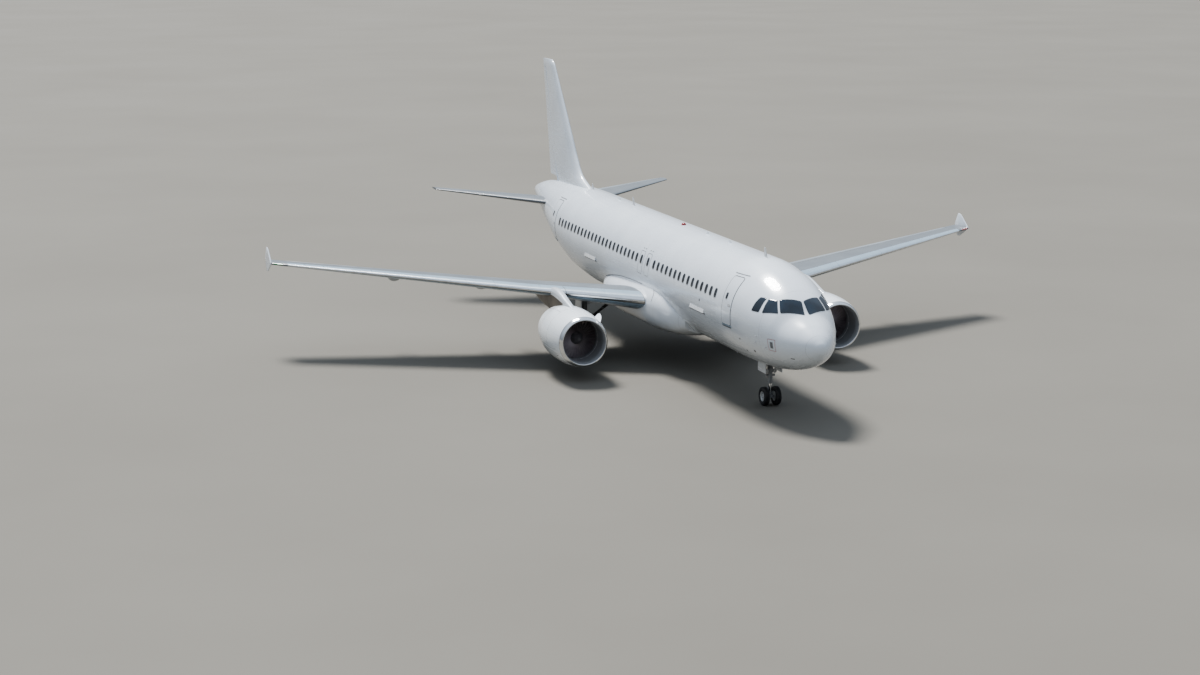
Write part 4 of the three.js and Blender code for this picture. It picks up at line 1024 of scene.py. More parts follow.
def build_cargo_leaf(name, door):
    """The cargo door: skin, walls, liner with rails, hinge knuckles and handle."""
    leaf = Builder()
    outline = side_line(STARBOARD, [p.yz for p in cargo_outline(door, 0)])
    inner = side_line(STARBOARD, [p.yz for p in cargo_outline(door, 0.035)])
    skin_patch(leaf, outline, WHITE, 0.002, -0.006)
    count = len(outline)
    leaf.add(
        [BODY.project(p, -0.006) for p in outline] + [BODY.project(p, -SKIN_DEPTH) for p in inner],
        [(i, (i + 1) % count, (i + 1) % count + count, i + count) for i in range(count)], SEAL,
    )
    skin_patch(leaf, inner, LINER, -SKIN_DEPTH, -SKIN_DEPTH)
    for along in linspace(-0.75, 0.75, 6):
        rib = side_line(STARBOARD, [(door + along, z) for z in linspace(2.25, 3.25, 8)])
        leaf.hose([BODY.project(p, -SKIN_DEPTH - 0.012) for p in rib], 0.012, GEAR_GREY_SHADED)
    pitch = CARGO_WIDTH / CARGO_KNUCKLES
    hinge_x, hinge_z = CARGO_HINGE
    for k in range(CARGO_KNUCKLES):
        y = y_of(door - CARGO_WIDTH / 2 + k * pitch + 0.02)
        leaf.tube((hinge_x, y, hinge_z), (hinge_x, y + pitch - 0.04, hinge_z), 0.022, GEAR_GREY_SHADED, 16)
    handle = (door - 0.1, 2.35, 0.24, 0.08, 0.03)
    side_panels(leaf, STARBOARD, (handle, (FRAME_GREY, 0.006, 0.003), (GROOVE, 0.01, 0.0065)))
    leaf.finish(f"cargo_leaf_{name}", f"cargo_door_{name}", "white_paint", [f"cargo_door_{name}"])


def build_hinge_strip(name, door):
    """The bright rain strip over a cargo door's hinge with a dark line of painted shadow under it, and the
    front door's small mark.
    """
    strip = Builder()
    ends = (door - 0.8, door + 0.8)
    rows = []
    for station in linspace(*ends, 12):
        top, foot = side_line(STARBOARD, [(station, 3.57), (station, 3.44)])
        section = ((top, 0.002), (top, 0.012), (foot, 0.06), (foot, 0.002))
        rows.append([BODY.project(p, lift) for p, lift in section])
    strip.loft(rows, BRIGHT_STRIP)
    # A dark line under the strip: painted shadow below its overhang.
    skin_stroke(strip, side_line(STARBOARD, [(at, 3.425) for at in linspace(*ends, 9)]), SEAL, 0.022, 0.006)
    if name == "front":
        mark = side_line(STARBOARD, [(7.86, 3.86), (7.98, 3.86), (7.9, 3.97)])
        skin_patch(strip, filled_in(mark, 0.05), SEAL, 0.006, 0.003)
    strip.finish(f"cargo_hinge_strip_{name}", "airframe", "bare_silver")


def build_hold_liner(name, door, start, end):
    liner = Builder()
    depth = -HOLD_WALL
    _, middle, height = BODY.row(door)
    low, high = (math.asin((z - middle) / (height + depth)) for z in (HOLD_FLOOR, HOLD_CEILING))
    port = linspace(low, high, 11)
    starboard = [math.pi - angle for angle in port]
    near, far = door - CARGO_WIDTH / 2 - 0.03, door + CARGO_WIDTH / 2 + 0.03
    steps = linspace(start, end, 14)
    for stations, angles in (
        (steps, port), (linspace(start, near, 4), starboard), (linspace(far, end, 6), starboard),
    ):
        rows = [[BODY.at(station, angle, depth) for angle in angles] for station in stations]
        liner.loft(rows, LINER, closed=False)
    for z, mat in ((HOLD_FLOOR, LINER_FLOOR), (HOLD_CEILING, LINER)):
        rows = []
        for station in steps:
            h, m, t = BODY.row(station)
            reach = (h + depth) * math.cos(math.asin((z - m) / (t + depth)))
            rows.append([(reach * k, y_of(station), z) for k in linspace(-1, 1, 9)])
        liner.loft(rows, mat, closed=False)
    for station in (start, end):
        liner.cap([BODY.at(station, angle, depth) for angle in (*port, *reversed(starboard))], LINER)
    for x in (-0.45, 0.0, 0.45):
        liner.block(
            (x - 0.03, y_of(start + 0.1), HOLD_FLOOR), (x + 0.03, y_of(end - 0.1), HOLD_FLOOR + 0.012),
            GEAR_GREY_SHADED, 0.003,
        )
    liner.finish(f"hold_liner_{name}", "airframe", "white_paint", angle=30)


# Lifting surfaces


def spread(u):
    """Half thickness of the usual symmetrical section over its full thickness."""
    return 5 * (0.2969 * math.sqrt(u) - 0.126 * u - 0.3516 * u**2 + 0.2843 * u**3 - 0.1015 * u**4)


def wing_place(row, u, sign):
    x, le, te, z, twist, thickness = row
    chord = te - le
    back = u * chord - TWIST_SHARE * chord
    up = sign * spread(u) * thickness * chord
    turn = math.radians(twist)
    y = TWIST_SHARE * chord + back * math.cos(turn) + up * math.sin(turn)
    return Vector((x, y_of(le + y), z - back * math.sin(turn) + up * math.cos(turn)))


def fin_place(row, u, sign):
    z, le, te, half = row
    return Vector((sign * spread(u) * half * 2, y_of(le + u * (te - le)), z))


class Foil:
    """A lifting surface lofted over rows, whose first column is the place along the span."""

    def __init__(self, rows, place):
        self.rows, self.place = rows, place

    def at(self, span, u, sign):
        k = 1
        while k < len(self.rows) - 1 and self.rows[k][0] < span:
            k += 1
        a, b = self.rows[k - 1], self.rows[k]
        t = float((span - a[0]) / (b[0] - a[0]))
        return self.place(a, u, sign).lerp(self.place(b, u, sign), t)

    def camber(self, span, u):
        return (self.at(span, u, 1) + self.at(span, u, -1)) / 2

    def chord(self, span):
        return (self.at(span, 1, 1) - self.at(span, 0, 1)).length

    def ring(self, span, front, rear, front_hinge=None, rear_hinge=None, points=26):
        """A ring over the top from rear to front and back below. A hinge is (point, radius)."""
        turn = math.pi / (points - 1) / 2
        shares = [front + (rear - front) * (1 - math.cos(k * turn)) for k in range(points)]
        top = [self.at(span, u, 1) for u in reversed(shares)]
        below = [self.at(span, u, -1) for u in shares]
        nose, tail = self.wall(top[-1], below[0], front_hinge), self.wall(below[-1], top[0], rear_hinge)
        return [*top, *nose, *below, *tail]

    @staticmethod
    def wall(start, end, hinge, points=9):
        """Points between two skins: straight, or round a hinge point on its forward side."""
        if hinge is None:
            return [start.lerp(end, k / (points + 1)) for k in range(1, points + 1)]
        centre, radius = hinge[0], float(hinge[1])
        up = (start - end).normalized()
        forward = Vector((0, -1, 0))
        forward = (forward - up * forward.dot(up)).normalized()
        out = []
        for k in range(1, points + 1):
            angle = math.pi * (0.5 - k / (points + 1))
            out.append(centre + radius * (math.sin(angle) * up + math.cos(angle) * forward))
        return out


WING = Foil(WING_ROWS, wing_place)
TAILPLANE = Foil(TAILPLANE_ROWS, wing_place)
FILLET_ROWS = FIN_ROWS[:5]
FILLET_LAWS = laws_of(FILLET_ROWS)
FIN = Foil([
    *((z, *(law(z) for law in FILLET_LAWS)) for z in linspace(FILLET_ROWS[0][0], FILLET_ROWS[-1][0], 24)),
    *FIN_ROWS[len(FILLET_ROWS):],
], fin_place)


def slat_share(x):
    return SLAT_ROOT_SHARE + (SLAT_TIP_SHARE - SLAT_ROOT_SHARE) * (x - WING_ROOT) / (WING_END - WING_ROOT)


def gap_share(x):
    return SKIN_GAP / WING.chord(x)


def hinge_at(foil, span, surface, grow=0.0):
    """The hinge point and nose radius at a place along the span."""
    start, end, share = surface
    t = (span - start) / (end - start)
    centre = foil.camber(start, share).lerp(foil.camber(end, share), t)
    radii = [(foil.at(x, share, 1) - foil.at(x, share, -1)).length / 2 for x in (start, end)]
    return centre, (radii[0] + (radii[1] - radii[0]) * t) * HINGE_NOSE_SHARE + grow


def build_hinged(foil, surface, count, label, side, name):
    """An aileron or elevator with a round nose about its hinge line."""
    start, end, share = surface
    made = Builder(side)
    made.loft([
        foil.ring(x, share, 1.0, front_hinge=hinge_at(foil, x, surface)) for x in linspace(start, end, count)
    ], FLAP_GREY)
    if name == "aileron":
        for x in DISCHARGERS:
            tip = WING.at(x, 1, 1)
            made.tube(tip, tip + Vector((0, 0.12, -0.005)), 0.004, SEAL, 8, 0.002)
    made.finish(f"{name}_skin_{label}", f"{name}_{label}", "wing_grey", [f"{name}_{label}"], angle=40)


def wing_edges(x):
    """Where the fixed wing starts and ends along the chord, and the hinge behind it if there is one."""
    has_slat = any(a < x < b for _, a, b in SLATS)
    front = slat_share(x) + gap_share(x) if has_slat else 0.0
    if any(a < x < b for _, a, b in FLAPS):
        return front, FLAP_SHARE - gap_share(x), None
    if AILERON_CUT[0] < x < AILERON_CUT[1]:
        return front, AILERON[2], hinge_at(WING, x, AILERON, HINGE_GAP)
    return front, 1.0, None


def build_wing(label, side):
    wing = Builder(side)
    marks = {WING_ROOT, WING_END, FLAPS[0][1], FLAPS_MEET, *AILERON_CUT}
    marks |= {x for slat in SLATS for x in slat[1:]}
    rings = []
    for x in sorted(marks | set(linspace(WING_ROOT, WING_END, 40))):
        for probe in (x - 1e-4, x + 1e-4):
            if WING_ROOT < probe < WING_END:
                front, rear, hinge = wing_edges(probe)
                rings.append(WING.ring(x, front, rear, rear_hinge=hinge))
    root = next(i for i, ring in enumerate(rings) if ring[0].x > SLATS[0][1] - 1e-3)
    wing.loft(rings[:root + 1], FAIRING_WHITE_SHADED, caps=False)
    wing.loft(rings[root:], WING_GREY, caps=False)
    wing.cap(rings[-1], WING_GREY)
    wing.cap(rings[0][::-1], WING_GREY)
    for track in TRACKS:
        build_track(wing, *track)
    build_wing_joints(wing)
    wing.finish(f"wing_box_{label}", "airframe", "wing_grey", [f"wing_{label}"], angle=40)
    build_slats(label, side)
    for name, start, end in FLAPS:
        flap = Builder(side)
        xs = linspace(start + SKIN_GAP, end - SKIN_GAP, 14)
        flap.loft([WING.ring(x, FLAP_SHARE + gap_share(x), 1.0) for x in xs], FLAP_GREY)
        flap.finish(f"{name}_skin_{label}", "airframe", "wing_grey", [f"{name}_{label}"], angle=40)
    build_hinged(WING, AILERON, 10, label, side, "aileron")


def build_slats(label, side):
    for name, start, end in SLATS:
        slat = Builder(side)
        cuts = [start, *(x for x in SLAT_JOINTS if start < x < end), end]
        for a, b in zip(cuts, cuts[1:]):
            xs = linspace(a + SKIN_GAP, b - SKIN_GAP, 10)
            slat.loft([WING.ring(x, 0.0, slat_share(x) - gap_share(x)) for x in xs], SLAT_GREY)
            slat.loft([[
                WING.at(x, u, sign) + Vector((0, -0.0015, sign * 0.0015)) for u, sign in LEADING_STRIP
            ] for x in xs], POLISHED, closed=False)
        if name == "slat_inner":
            rear = slat_share(start) - gap_share(start)
            slat.loft([WING.ring(start + dx, 0.0, rear) for dx in (-0.012, 0.003)], BROWN_SEAL)
        slat.finish(f"{name}_skin_{label}", "airframe", "wing_grey", [f"{name}_{label}"], angle=40)


def soft_box(x, half, station, low, high, sides, power):
    """A ring across Y between two heights, with its corners rounded more or less by the power."""
    y, middle, height = y_of(station), (low + high) / 2, (high - low) / 2
    return [(x + half * bulge(c, power), y, middle + height * bulge(s, power)) for c, s in turns(sides)]


def build_track(builder, x, start, end, depth, half):
    """A flap track fairing: a long canoe under the wing."""
    size = monotone([0, 0.2, 0.5, 0.8, 1], [0.1, 0.65, 1, 0.65, 0.12])
    row_z = WING.camber(x, TWIST_SHARE).z
    rings = []
    for t in linspace(0, 1, 26):
        grown, base = size(t), row_z - 0.06 - 0.28 * t
        station = start + (end - start) * t
        rings.append(soft_box(x, half * grown, station, base - depth * grown, base + 0.1 * grown, 28, 0.85))
    builder.loft(rings, FLAP_GREY)


def wing_line(wing, x0, u0, x1, u1, lift, radius, count=14):
    """A thin joint along the wing's upper skin between two places."""
    line = []
    for t in linspace(0, 1, count):
        line.append(WING.at(x0 + (x1 - x0) * t, u0 + (u1 - u0) * t, 1) + Vector((0, 0, lift)))
    wing.hose(line, radius, GROOVE, 6, 1)


def build_wing_joints(wing):
    """Spoiler and panel joints."""
    rear = FLAP_SHARE - 0.004
    for a, b, front in SPOILERS:
        for ends in ((a, front, b, front), (a, front, a, rear), (b, front, b, rear)):
            wing_line(wing, *ends, -0.001, 0.005)
    for x in linspace(7.6, 15.6, 7):
        wing_line(wing, x, 0.3, x, 0.62, -0.002, 0.004, 6)


def build_fence(label, side):
    """The tip fence with its navigation lights."""
    fence = Builder(side)
    inner, outer = TIP_X - FENCE_THICKNESS, TIP_X
    middle, centre = (inner + outer) / 2, Vector(FENCE_MIDDLE)
    outline = filled_in(rounded([(0, *p) for p in FENCE_OUTLINE], 0.09), 0.08)
    for rows, flat in (
        (((middle, 1), (inner + 0.022, 0.985), (inner, 0.93)), -1),
        (((outer, 0.5), (outer, 0.93), (outer - 0.022, 0.985), (middle, 1)), 0),
    ):
        rings = [[(x, y_of(p.y), p.z) for p in (centre.lerp(q, share) for q in outline)] for x, share in rows]
        fence.loft(rings, WHITE, caps=False)
        fence.cap(rings[flat], WHITE)
    fence.finish(f"tip_fence_{label}", "airframe", "white_paint", [f"wing_fence_{label}"])
    lamp = Builder(side)
    section = [
        Vector((0, 0.07 - 0.085 * math.cos(a) * math.cos(a / 2), 0.045 * math.sin(a)))
        for a in linspace(-math.pi / 2, math.pi / 2, 13)
    ]
    rings = [[WING.at(x, 0, 1) + p for p in section] for x in linspace(16.55, 16.93, 6)]
    lamp.loft(rings, RED_LENS if side > 0 else GREEN_LENS, closed=False)
    lamp.finish(f"tip_light_{label}", "airframe", "cockpit_glass", outward=lambda p: Vector((0, -1, 0)))


def build_tailplane(label, side):
    plane = Builder(side)
    start, end, share = ELEVATOR
    cut = (start - HINGE_GAP, end + HINGE_GAP)
    rings = []
    for x in sorted({*linspace(TAILPLANE_ROWS[0][0], TAILPLANE_ROWS[1][0], 24), *cut}):
        for probe in (x - 1e-4, x + 1e-4):
            inside = cut[0] < probe < cut[1]
            hinge = hinge_at(TAILPLANE, x, ELEVATOR, HINGE_GAP) if inside else None
            rings.append(TAILPLANE.ring(x, 0.0, share if inside else 1.0, rear_hinge=hinge))
    plane.loft(rings, WING_GREY)
    plane.finish(f"tailplane_skin_{label}", "airframe", "wing_grey", [f"tailplane_{label}"], angle=40)
    build_hinged(TAILPLANE, ELEVATOR, 12, label, side, "elevator")


def rudder_hinge(z, grow=0.0):
    (s0, z0, r0), (s1, z1, r1) = RUDDER_FOOT, RUDDER_HEAD
    t = (z - z0) / (z1 - z0)
    return Vector((0, y_of(s0 + (s1 - s0) * t), z)), r0 + (r1 - r0) * t + grow


def rudder_share(z):
    centre, _ = rudder_hinge(z)
    front, back = FIN.at(z, 0, 1).y, FIN.at(z, 1, 1).y
    return (centre.y - front) / (back - front)


def build_fin():
    fin = Builder()
    foot, head = RUDDER_FOOT[1], RUDDER_HEAD[1]
    rings = []
    for z in sorted({*linspace(FIN_FOOT, FIN_TOP, 60), foot, head + HINGE_GAP}):
        for probe in (z - 1e-4, z + 1e-4):
            inside = foot - 0.3 < min(max(probe, FIN_FOOT), FIN_TOP) < head + HINGE_GAP
            rear, hinge = (rudder_share(z), rudder_hinge(z, HINGE_GAP)) if inside else (1.0, None)
            rings.append(FIN.ring(z, 0.0, rear, rear_hinge=hinge))
    fin.loft(rings, WHITE)
    fin.finish("fin_skin", "airframe", "white_paint", ["fin"], angle=40)
    rudder = Builder()
    rings = [FIN.ring(z, rudder_share(z), 1.0, front_hinge=rudder_hinge(z)) for z in linspace(foot, head, 30)]
    for p in rings[0]:
        _, middle, height = BODY.row(p.y - NOSE_Y)
        p.z = max(foot, middle + height + RUDDER_FOOT_GAP)
    rudder.loft(rings, WHITE)
    rudder.finish("rudder_skin", "rudder", "white_paint", ["rudder"], angle=40)


def build_fairing():
    """The belly fairing, without what lies inside the fuselage, the seams round it, and a dark line of
    painted shade along its lower edge.
    """
    belly = Builder()
    rings = FAIRING.rings(FAIRING_ROWS[0][0], FAIRING_ROWS[-1][0], 0.14)
    first, last = ([BODY.project(p, -0.03) if outside_body(p) else p for p in rings[k]] for k in (0, -1))
    belly.loft([first, *rings, last], FAIRING_WHITE_SHADED, caps=False)
    kept = [face for face in belly.faces if any(outside_body(belly.points[k]) for k in face)]
    used = sorted({k for face in kept for k in face})
    place = {k: i for i, k in enumerate(used)}
    belly.points = [belly.points[k] for k in used]
    belly.faces = [[place[k] for k in face] for face in kept]
    belly.face_materials = [0] * len(kept)
    for side in SIDES.values():
        for surface, path in ((BODY, FILLET_SEAM_UPPER), (FAIRING, FILLET_SEAM_FRONT), (FAIRING, KEEL_SHADE_LINE)):
            line = [surface.side_point(station, z, side) for station, z in path]
            skin_stroke(belly, line, GROOVE, 0.03, 0.009, surface)
    belly.finish("belly_fairing_skin", "airframe", "white_paint", ["belly_fairing"], outward=BODY.outward)


# Engines


def turned(builder, profile, mat, sides=112):
    """A surface turned about the engine's axis, from (station, radius) points."""
    builder.lathe([(y_of(station), radius) for station, radius in profile], mat, (ENGINE_X, ENGINE_Z), sides)


def build_cowl(label, side):
    cowl = Builder(side)
    outer = spline(COWL_PROFILE, 10)
    duct = spline(DUCT_PROFILE)
    turned(cowl, outer, COWL_WHITE)
    turned(cowl, [(15.0, 0.955), (15.004, 0.95), (15.004, 0.94), (15.0, 0.935)], HOT_METAL)
    turned(cowl, [p for p in duct if p[0] >= 12.7], HOT_METAL)
    turned(cowl, [p for p in duct if p[0] <= 12.74], DUCT_LINER)
    for station in COWL_JOINTS:
        r = between(outer, station)
        turned(cowl, [(station - 0.007, r), (station, r + 0.0015), (station + 0.007, r)], GROOVE)
    for degrees, start in ((-90, STRAKE_START), (62, COWL_JOINTS[0]), (118, COWL_JOINTS[0])):
        c, s = direction(degrees)
        line = []
        for station in linspace(start, COWL_SPLIT_END, 24):
            r = between(outer, station) + 0.0005
            line.append((ENGINE_X + r * c, y_of(station), ENGINE_Z + r * s))
        cowl.hose(line, 0.005, GROOVE, 6, 1)
    for station in COWL_LATCHES:
        low = ENGINE_Z - between(outer, station)
        start = (ENGINE_X - 0.05, y_of(station), low - 0.012)
        cowl.block(start, (ENGINE_X + 0.05, y_of(station + 0.14), low + 0.02), FRAME_GREY, 0.008)
    c, s = direction(STRAKE_ANGLE)
    out, across = Vector((c, 0, s)), Vector((-s, 0, c))
    strake = []
    for t in linspace(0, 1, 20):
        station = STRAKE_START + STRAKE_LENGTH * t
        foot = Vector((ENGINE_X, y_of(station), ENGINE_Z)) + out * (between(outer, station) - 0.01)
        top, shoulder = foot + out * between(STRAKE, t), foot + out * between(STRAKE, t) * 0.9
        half = across * 0.011 * math.sin(math.pi * (0.06 + 0.88 * t))
        strake.append([foot - half, shoulder - half * 0.6, top, shoulder + half * 0.6, foot + half])
    cowl.loft(strake, COWL_WHITE)
    for degrees in (212, 328):
        c, s = direction(degrees)
        out = Vector((c, 0, s)) * (between(outer, COWL_VENT) + 0.001)
        place = Vector((ENGINE_X, y_of(COWL_VENT), ENGINE_Z)) + out
        cowl.tube(place - Vector((0, 0.06, 0)), place + Vector((0, 0.06, 0)), 0.014, SEAL, 12)
    cowl.finish(f"cowl_{label}", "airframe", "white_paint", [f"nacelle_{label}"], angle=30)


def build_lip(label, side):
    """The inlet lip: bare at its edge, grey inside as a painted reflection on the bare metal, and painted
    behind the seam.
    """
    lip, seam = Builder(side), Builder(side)
    line = spline(LIP_PROFILE, 10)
    front = min(range(len(line)), key=lambda i: line[i][0])
    rear = next(i for i in range(front, len(line)) if line[i][0] > LIP_SEAM)
    turned(lip, line[:front - LIP_POLISHED_POINTS + 1], LIP_INSIDE_REFLECTION)
    turned(lip, line[front - LIP_POLISHED_POINTS:rear + 1], POLISHED)
    turned(lip, line[rear:], COWL_WHITE)
    lip.finish(f"inlet_lip_{label}", "airframe", "bare_silver", angle=50)
    at, r = line[rear]
    turned(seam, [(at - 0.01, r - 0.003), (at, r + 0.0015), (at + 0.01, r + 0.003)], GROOVE)
    turned(seam, [(12.3, 0.8785), (12.31, 0.8755), (12.34, 0.8755), (12.35, 0.8785)], BRIGHT_STRIP)
    turned(seam, [(11.61, 0.8665), (11.62, 0.866), (11.63, 0.8665)], GROOVE)
    seam.finish(f"inlet_lip_seam_{label}", "airframe", "bare_silver")


def vanes(builder, station, count, first, radii, section, mat):
    """Radial vanes in the engine. A section is (along, across) points."""
    for c, s in turns(count, first):
        builder.loft([[
            (ENGINE_X + radius * c - across * s, y_of(station + along), ENGINE_Z + radius * s + across * c)
            for along, across in section
        ] for radius in radii], mat)


def build_core(label, side):
    core = Builder(side)
    turned(core, [(12.76, 0.001), *spline(CORE_CASE)], HOT_METAL, 72)
    turned(core, [CORE_CASE[-1], (15.7, 0.4), CORE_PLUG[0]], DARK_METAL, 72)
    turned(core, spline(CORE_PLUG), HOT_METAL, 72)
    bowed = [(along, thick + 0.06 * (along / 0.12) ** 2 - 0.03) for along, thick in VANE_SECTION]
    vanes(core, 12.92, GUIDE_VANES, 0, (0.4, 0.64, 0.885), bowed, DARK_METAL)
    vanes(core, 13.25, STRUTS, 0.5, (0.5, 0.93), [(0.175 * c, 0.02 * s) for c, s in turns(16)], HOT_METAL)
    core.finish(f"engine_core_skin_{label}", "airframe", "core_metal", [f"engine_core_{label}"], angle=35)


def fan_section(t):
    """The (along, around) points of a fan blade's section at a share of its height."""
    pitch = math.radians(33 + 29 * t)
    chord, thick, bow, sweep = 0.15 + 0.045 * t, 0.012 - 0.007 * t, 0.022 * (1 - 0.6 * t), 0.02 * t * t
    section = []
    for cosine, sine in turns(18):
        c, n = chord / 2 * cosine, thick / 2 * sine
        n += bow * (1 - (2 * c / chord) ** 2)
        section.append((
            c * math.cos(pitch) - n * math.sin(pitch) + sweep, c * math.sin(pitch) + n * math.cos(pitch),
        ))
    return section


def build_fan(label, side):
    fan = Builder(side)
    turned(fan, [*spline(SPINNER_PROFILE), (12.73, 0.001)], SPINNER_PAINT, 72)
    turned(fan, [(12.6, 0.2935), (12.62, 0.298), (12.635, 0.3005)], FRAME_GREY, 72)
    centre = Vector((ENGINE_X, y_of(FAN_STATION), ENGINE_Z))
    sections = [(FAN_FOOT + (FAN_TIP - FAN_FOOT) * t, fan_section(t)) for t in linspace(0, 1, 9)]
    for c, s in turns(FAN_BLADES):
        out, around = Vector((c, 0, s)), Vector((-s, 0, c))
        fan.loft([[
            centre + out * radius + Vector((0, along, 0)) + around * across for along, across in section
        ] for radius, section in sections], FAN_METAL)
    fan.finish(f"fan_rotor_{label}", f"fan_{label}", "fan_metal", [f"fan_{label}"], angle=50)


def build_pylon(label, side):
    """The pylon, silver above and along its nose, bare titanium below, painted darker than the metal as
    painted shade.
    """
    pylon = Builder(side)
    laws = laws_of(PYLON_ROWS)
    rings = []
    for station in linspace(PYLON_ROWS[0][0], PYLON_ROWS[-1][0], 60):
        half, low, high = (law(station) for law in laws)
        rings.append(soft_box(ENGINE_X, half, station, low, high, 48, 0.6))
    pylon.loft(rings, SILVER_PAINT)
    bare = pylon.material_index(PYLON_SIDE_SHADED)
    for i, face in enumerate(pylon.faces):
        _, y, z = (sum(pylon.points[k][axis] for k in face) / len(face) for axis in range(3))
        _, low, high = (law(y - NOSE_Y) for law in laws)
        if y - NOSE_Y > PYLON_SHADED_BARE_START and (z - low) / (high - low) < PYLON_SHADED_BARE_LEVEL:
            pylon.face_materials[i] = bare
    pylon.finish(f"pylon_skin_{label}", "airframe", "bare_silver", [f"pylon_{label}"], angle=50)


# Landing gear


def tyre_profile(radius, width, rim, centre):
    """A tyre's section across the axle, with four tread grooves."""
    half = [
        (0.58, rim - 0.004), (0.72, rim + 0.012),
        *((share, rim + (radius - rim) * rise) for share, rise in SIDEWALL),
        (0.62, radius - 0.004), *((share, radius + dip) for share, dip in TREAD),
    ]
    right = [(centre + share * width / 2, r) for share, r in half]
    return [*right, *((2 * centre - at, r) for at, r in reversed(right))]


def build_wheel(builder, centre_x, y, z, tyre, outward):
    """A hub with slots, a cap and a rim. The tyre is a piece of its own."""
    width, rim = tyre
    reach = outward * width * 0.31
    face = centre_x + reach
    profile = [(centre_x + reach * across, rim * share + step) for across, share, step in HUB_SECTION]
    cap = ((0.012, rim * 0.28), (0.016, rim * 0.2), (0.016, 0.0005))
    profile += [(face + outward * out, r) for out, r in cap]
    builder.lathe(profile, HUB_PAINT, (y, z), 64, "x")
    for x, radius, count, first, length, bar, mat, sides in (
        (centre_x + reach * 0.505, rim * 0.66, 9, 0, 0.006, rim * 0.1, BRAKE_METAL, 20),
        (face + outward * 0.008, rim * 0.255, 8, 0.5, 0.012, 0.009, GEAR_GREY_SHADED, 6),
    ):
        for c, s in turns(count, first):
            p = Vector((x, y + radius * c, z + radius * s))
            builder.tube(p, p + Vector((outward * length, 0, 0)), bar, mat, sides)


def torque_link(builder, x, y0, y1, z1, ends, width, mat):
    """Two triangular arms that meet at a pin at (y1, z1), from two heights of the leg at y0."""
    for z_end in ends:
        corners = ((-1, y0, z_end), (1, y0, z_end), (0.3, y1, z1), (-0.3, y1, z1))
        builder.plate([(x + width * share, y, z) for share, y, z in corners], 0.03, mat, 0.005)
        builder.tube((x - width * 1.1, y0, z_end), (x + width * 1.1, y0, z_end), 0.028, mat, 18)
    builder.tube((x - width * 0.45, y1, z1), (x + width * 0.45, y1, z1), 0.026, CHROME, 18)


def build_main_gear(label, side):
    y = y_of(MAIN_GEAR_STATION)
    x, z = MAIN_X, MAIN_AXLE_Z
    leg = Builder(side)
    knee = Vector((2.92, y, 1.94))
    leg.tubes(
        ((x, y, 0.98), (x - 0.055, y, 2.85), 0.135, GEAR_GREY_SHADED, 40),
        ((x, y, 0.93), (x, y, 1.03), 0.152, GEAR_GREY_SHADED, 40),
        ((x - 0.012, y, 1.5), (x - 0.014, y, 1.58), 0.152, GEAR_GREY_SHADED, 40),
        ((x, y, z), (x, y, 0.97), 0.088, CHROME, 40),
        ((x - 0.21, y, z), (x + 0.21, y, z), 0.12, GEAR_GREY_SHADED, 36),
        ((x, y, z - 0.05), (x, y, z + 0.16), 0.11, GEAR_GREY_SHADED, 32),
        ((3.66, y, 1.4), knee, 0.06, GEAR_SHADOW_DARK, 24),
        (knee, (2.27, y, 2.41), 0.07, GEAR_SHADOW_DARK, 24),
        (knee - Vector((0, 0.1, 0)), knee + Vector((0, 0.1, 0)), 0.05, GEAR_GREY_SHADED, 24),
        ((3.66, y - 0.11, 1.41), (3.66, y + 0.11, 1.41), 0.06, GEAR_GREY_SHADED, 24),
        ((3.72, y + 0.11, 2.05), (3.3, y + 0.11, 2.305), 0.03, CHROME, 20),
        ((3.4, y + 0.11, 2.245), (2.72, y + 0.11, 2.66), 0.05, GEAR_SHADOW_DARK, 24),
    )
    torque_link(leg, x, y - 0.13, y - 0.36, 0.93, (1.2, z + 0.16), 0.085, GEAR_GREY_SHADED)
    for sign in (-1, 1):
        inner = x + sign * 0.21
        leg.lathe([(inner + sign * out, r) for out, r in (
            (-0.015, 0.06), (-0.015, 0.215), (0.01, 0.225), (0.12, 0.225), (0.12, 0.06),
        )], BRAKE_METAL, (y, z), 48, "x")
        for c, s in turns(10):
            p = Vector((inner - sign * 0.035, y + 0.165 * c, z + 0.165 * s))
            leg.tube(p, p + Vector((sign * 0.03, 0, 0)), 0.026, GEAR_GREY_SHADED, 14)
    for path in MAIN_HOSES:
        leg.hose([(x + dx, y + dy, height) for dx, dy, height in path], 0.011, SEAL)
    for height in (1.45, 2.2):
        leg.block((x, y - 0.035, height - 0.035), (LEG_DOOR[0], y + 0.035, height + 0.035), GEAR_GREY_SHADED)
    leg.finish(f"main_leg_detail_{label}", "airframe", "gear_paint", [f"main_leg_{label}"], angle=35)
    build_leg_door(label, side)
    hubs = Builder(side)
    hubs.tube((x - 0.44, y, z), (x + 0.44, y, z), 0.045, CHROME, 24)
    body = f"main_wheels_{label}"
    wheels = {"inner": (x - MAIN_SPACING / 2, -1), "outer": (x + MAIN_SPACING / 2, 1)}
    for wheel_x, outward in wheels.values():
        build_wheel(hubs, wheel_x, y, z, MAIN_TYRE, outward)
    hubs.finish(f"main_wheel_hub_detail_{label}", body, "gear_paint", [f"main_wheel_hubs_{label}"], angle=30)
    for place, (wheel_x, _) in wheels.items():
        made = Builder(side)
        made.lathe(tyre_profile(z, *MAIN_TYRE, wheel_x), TYRE, (y, z), 72, "x")
        replaced = f"main_tyre_{place}_{label}"
        made.finish(f"main_tyre_{place}_rubber_{label}", body, "tyre_rubber", [replaced], angle=30)


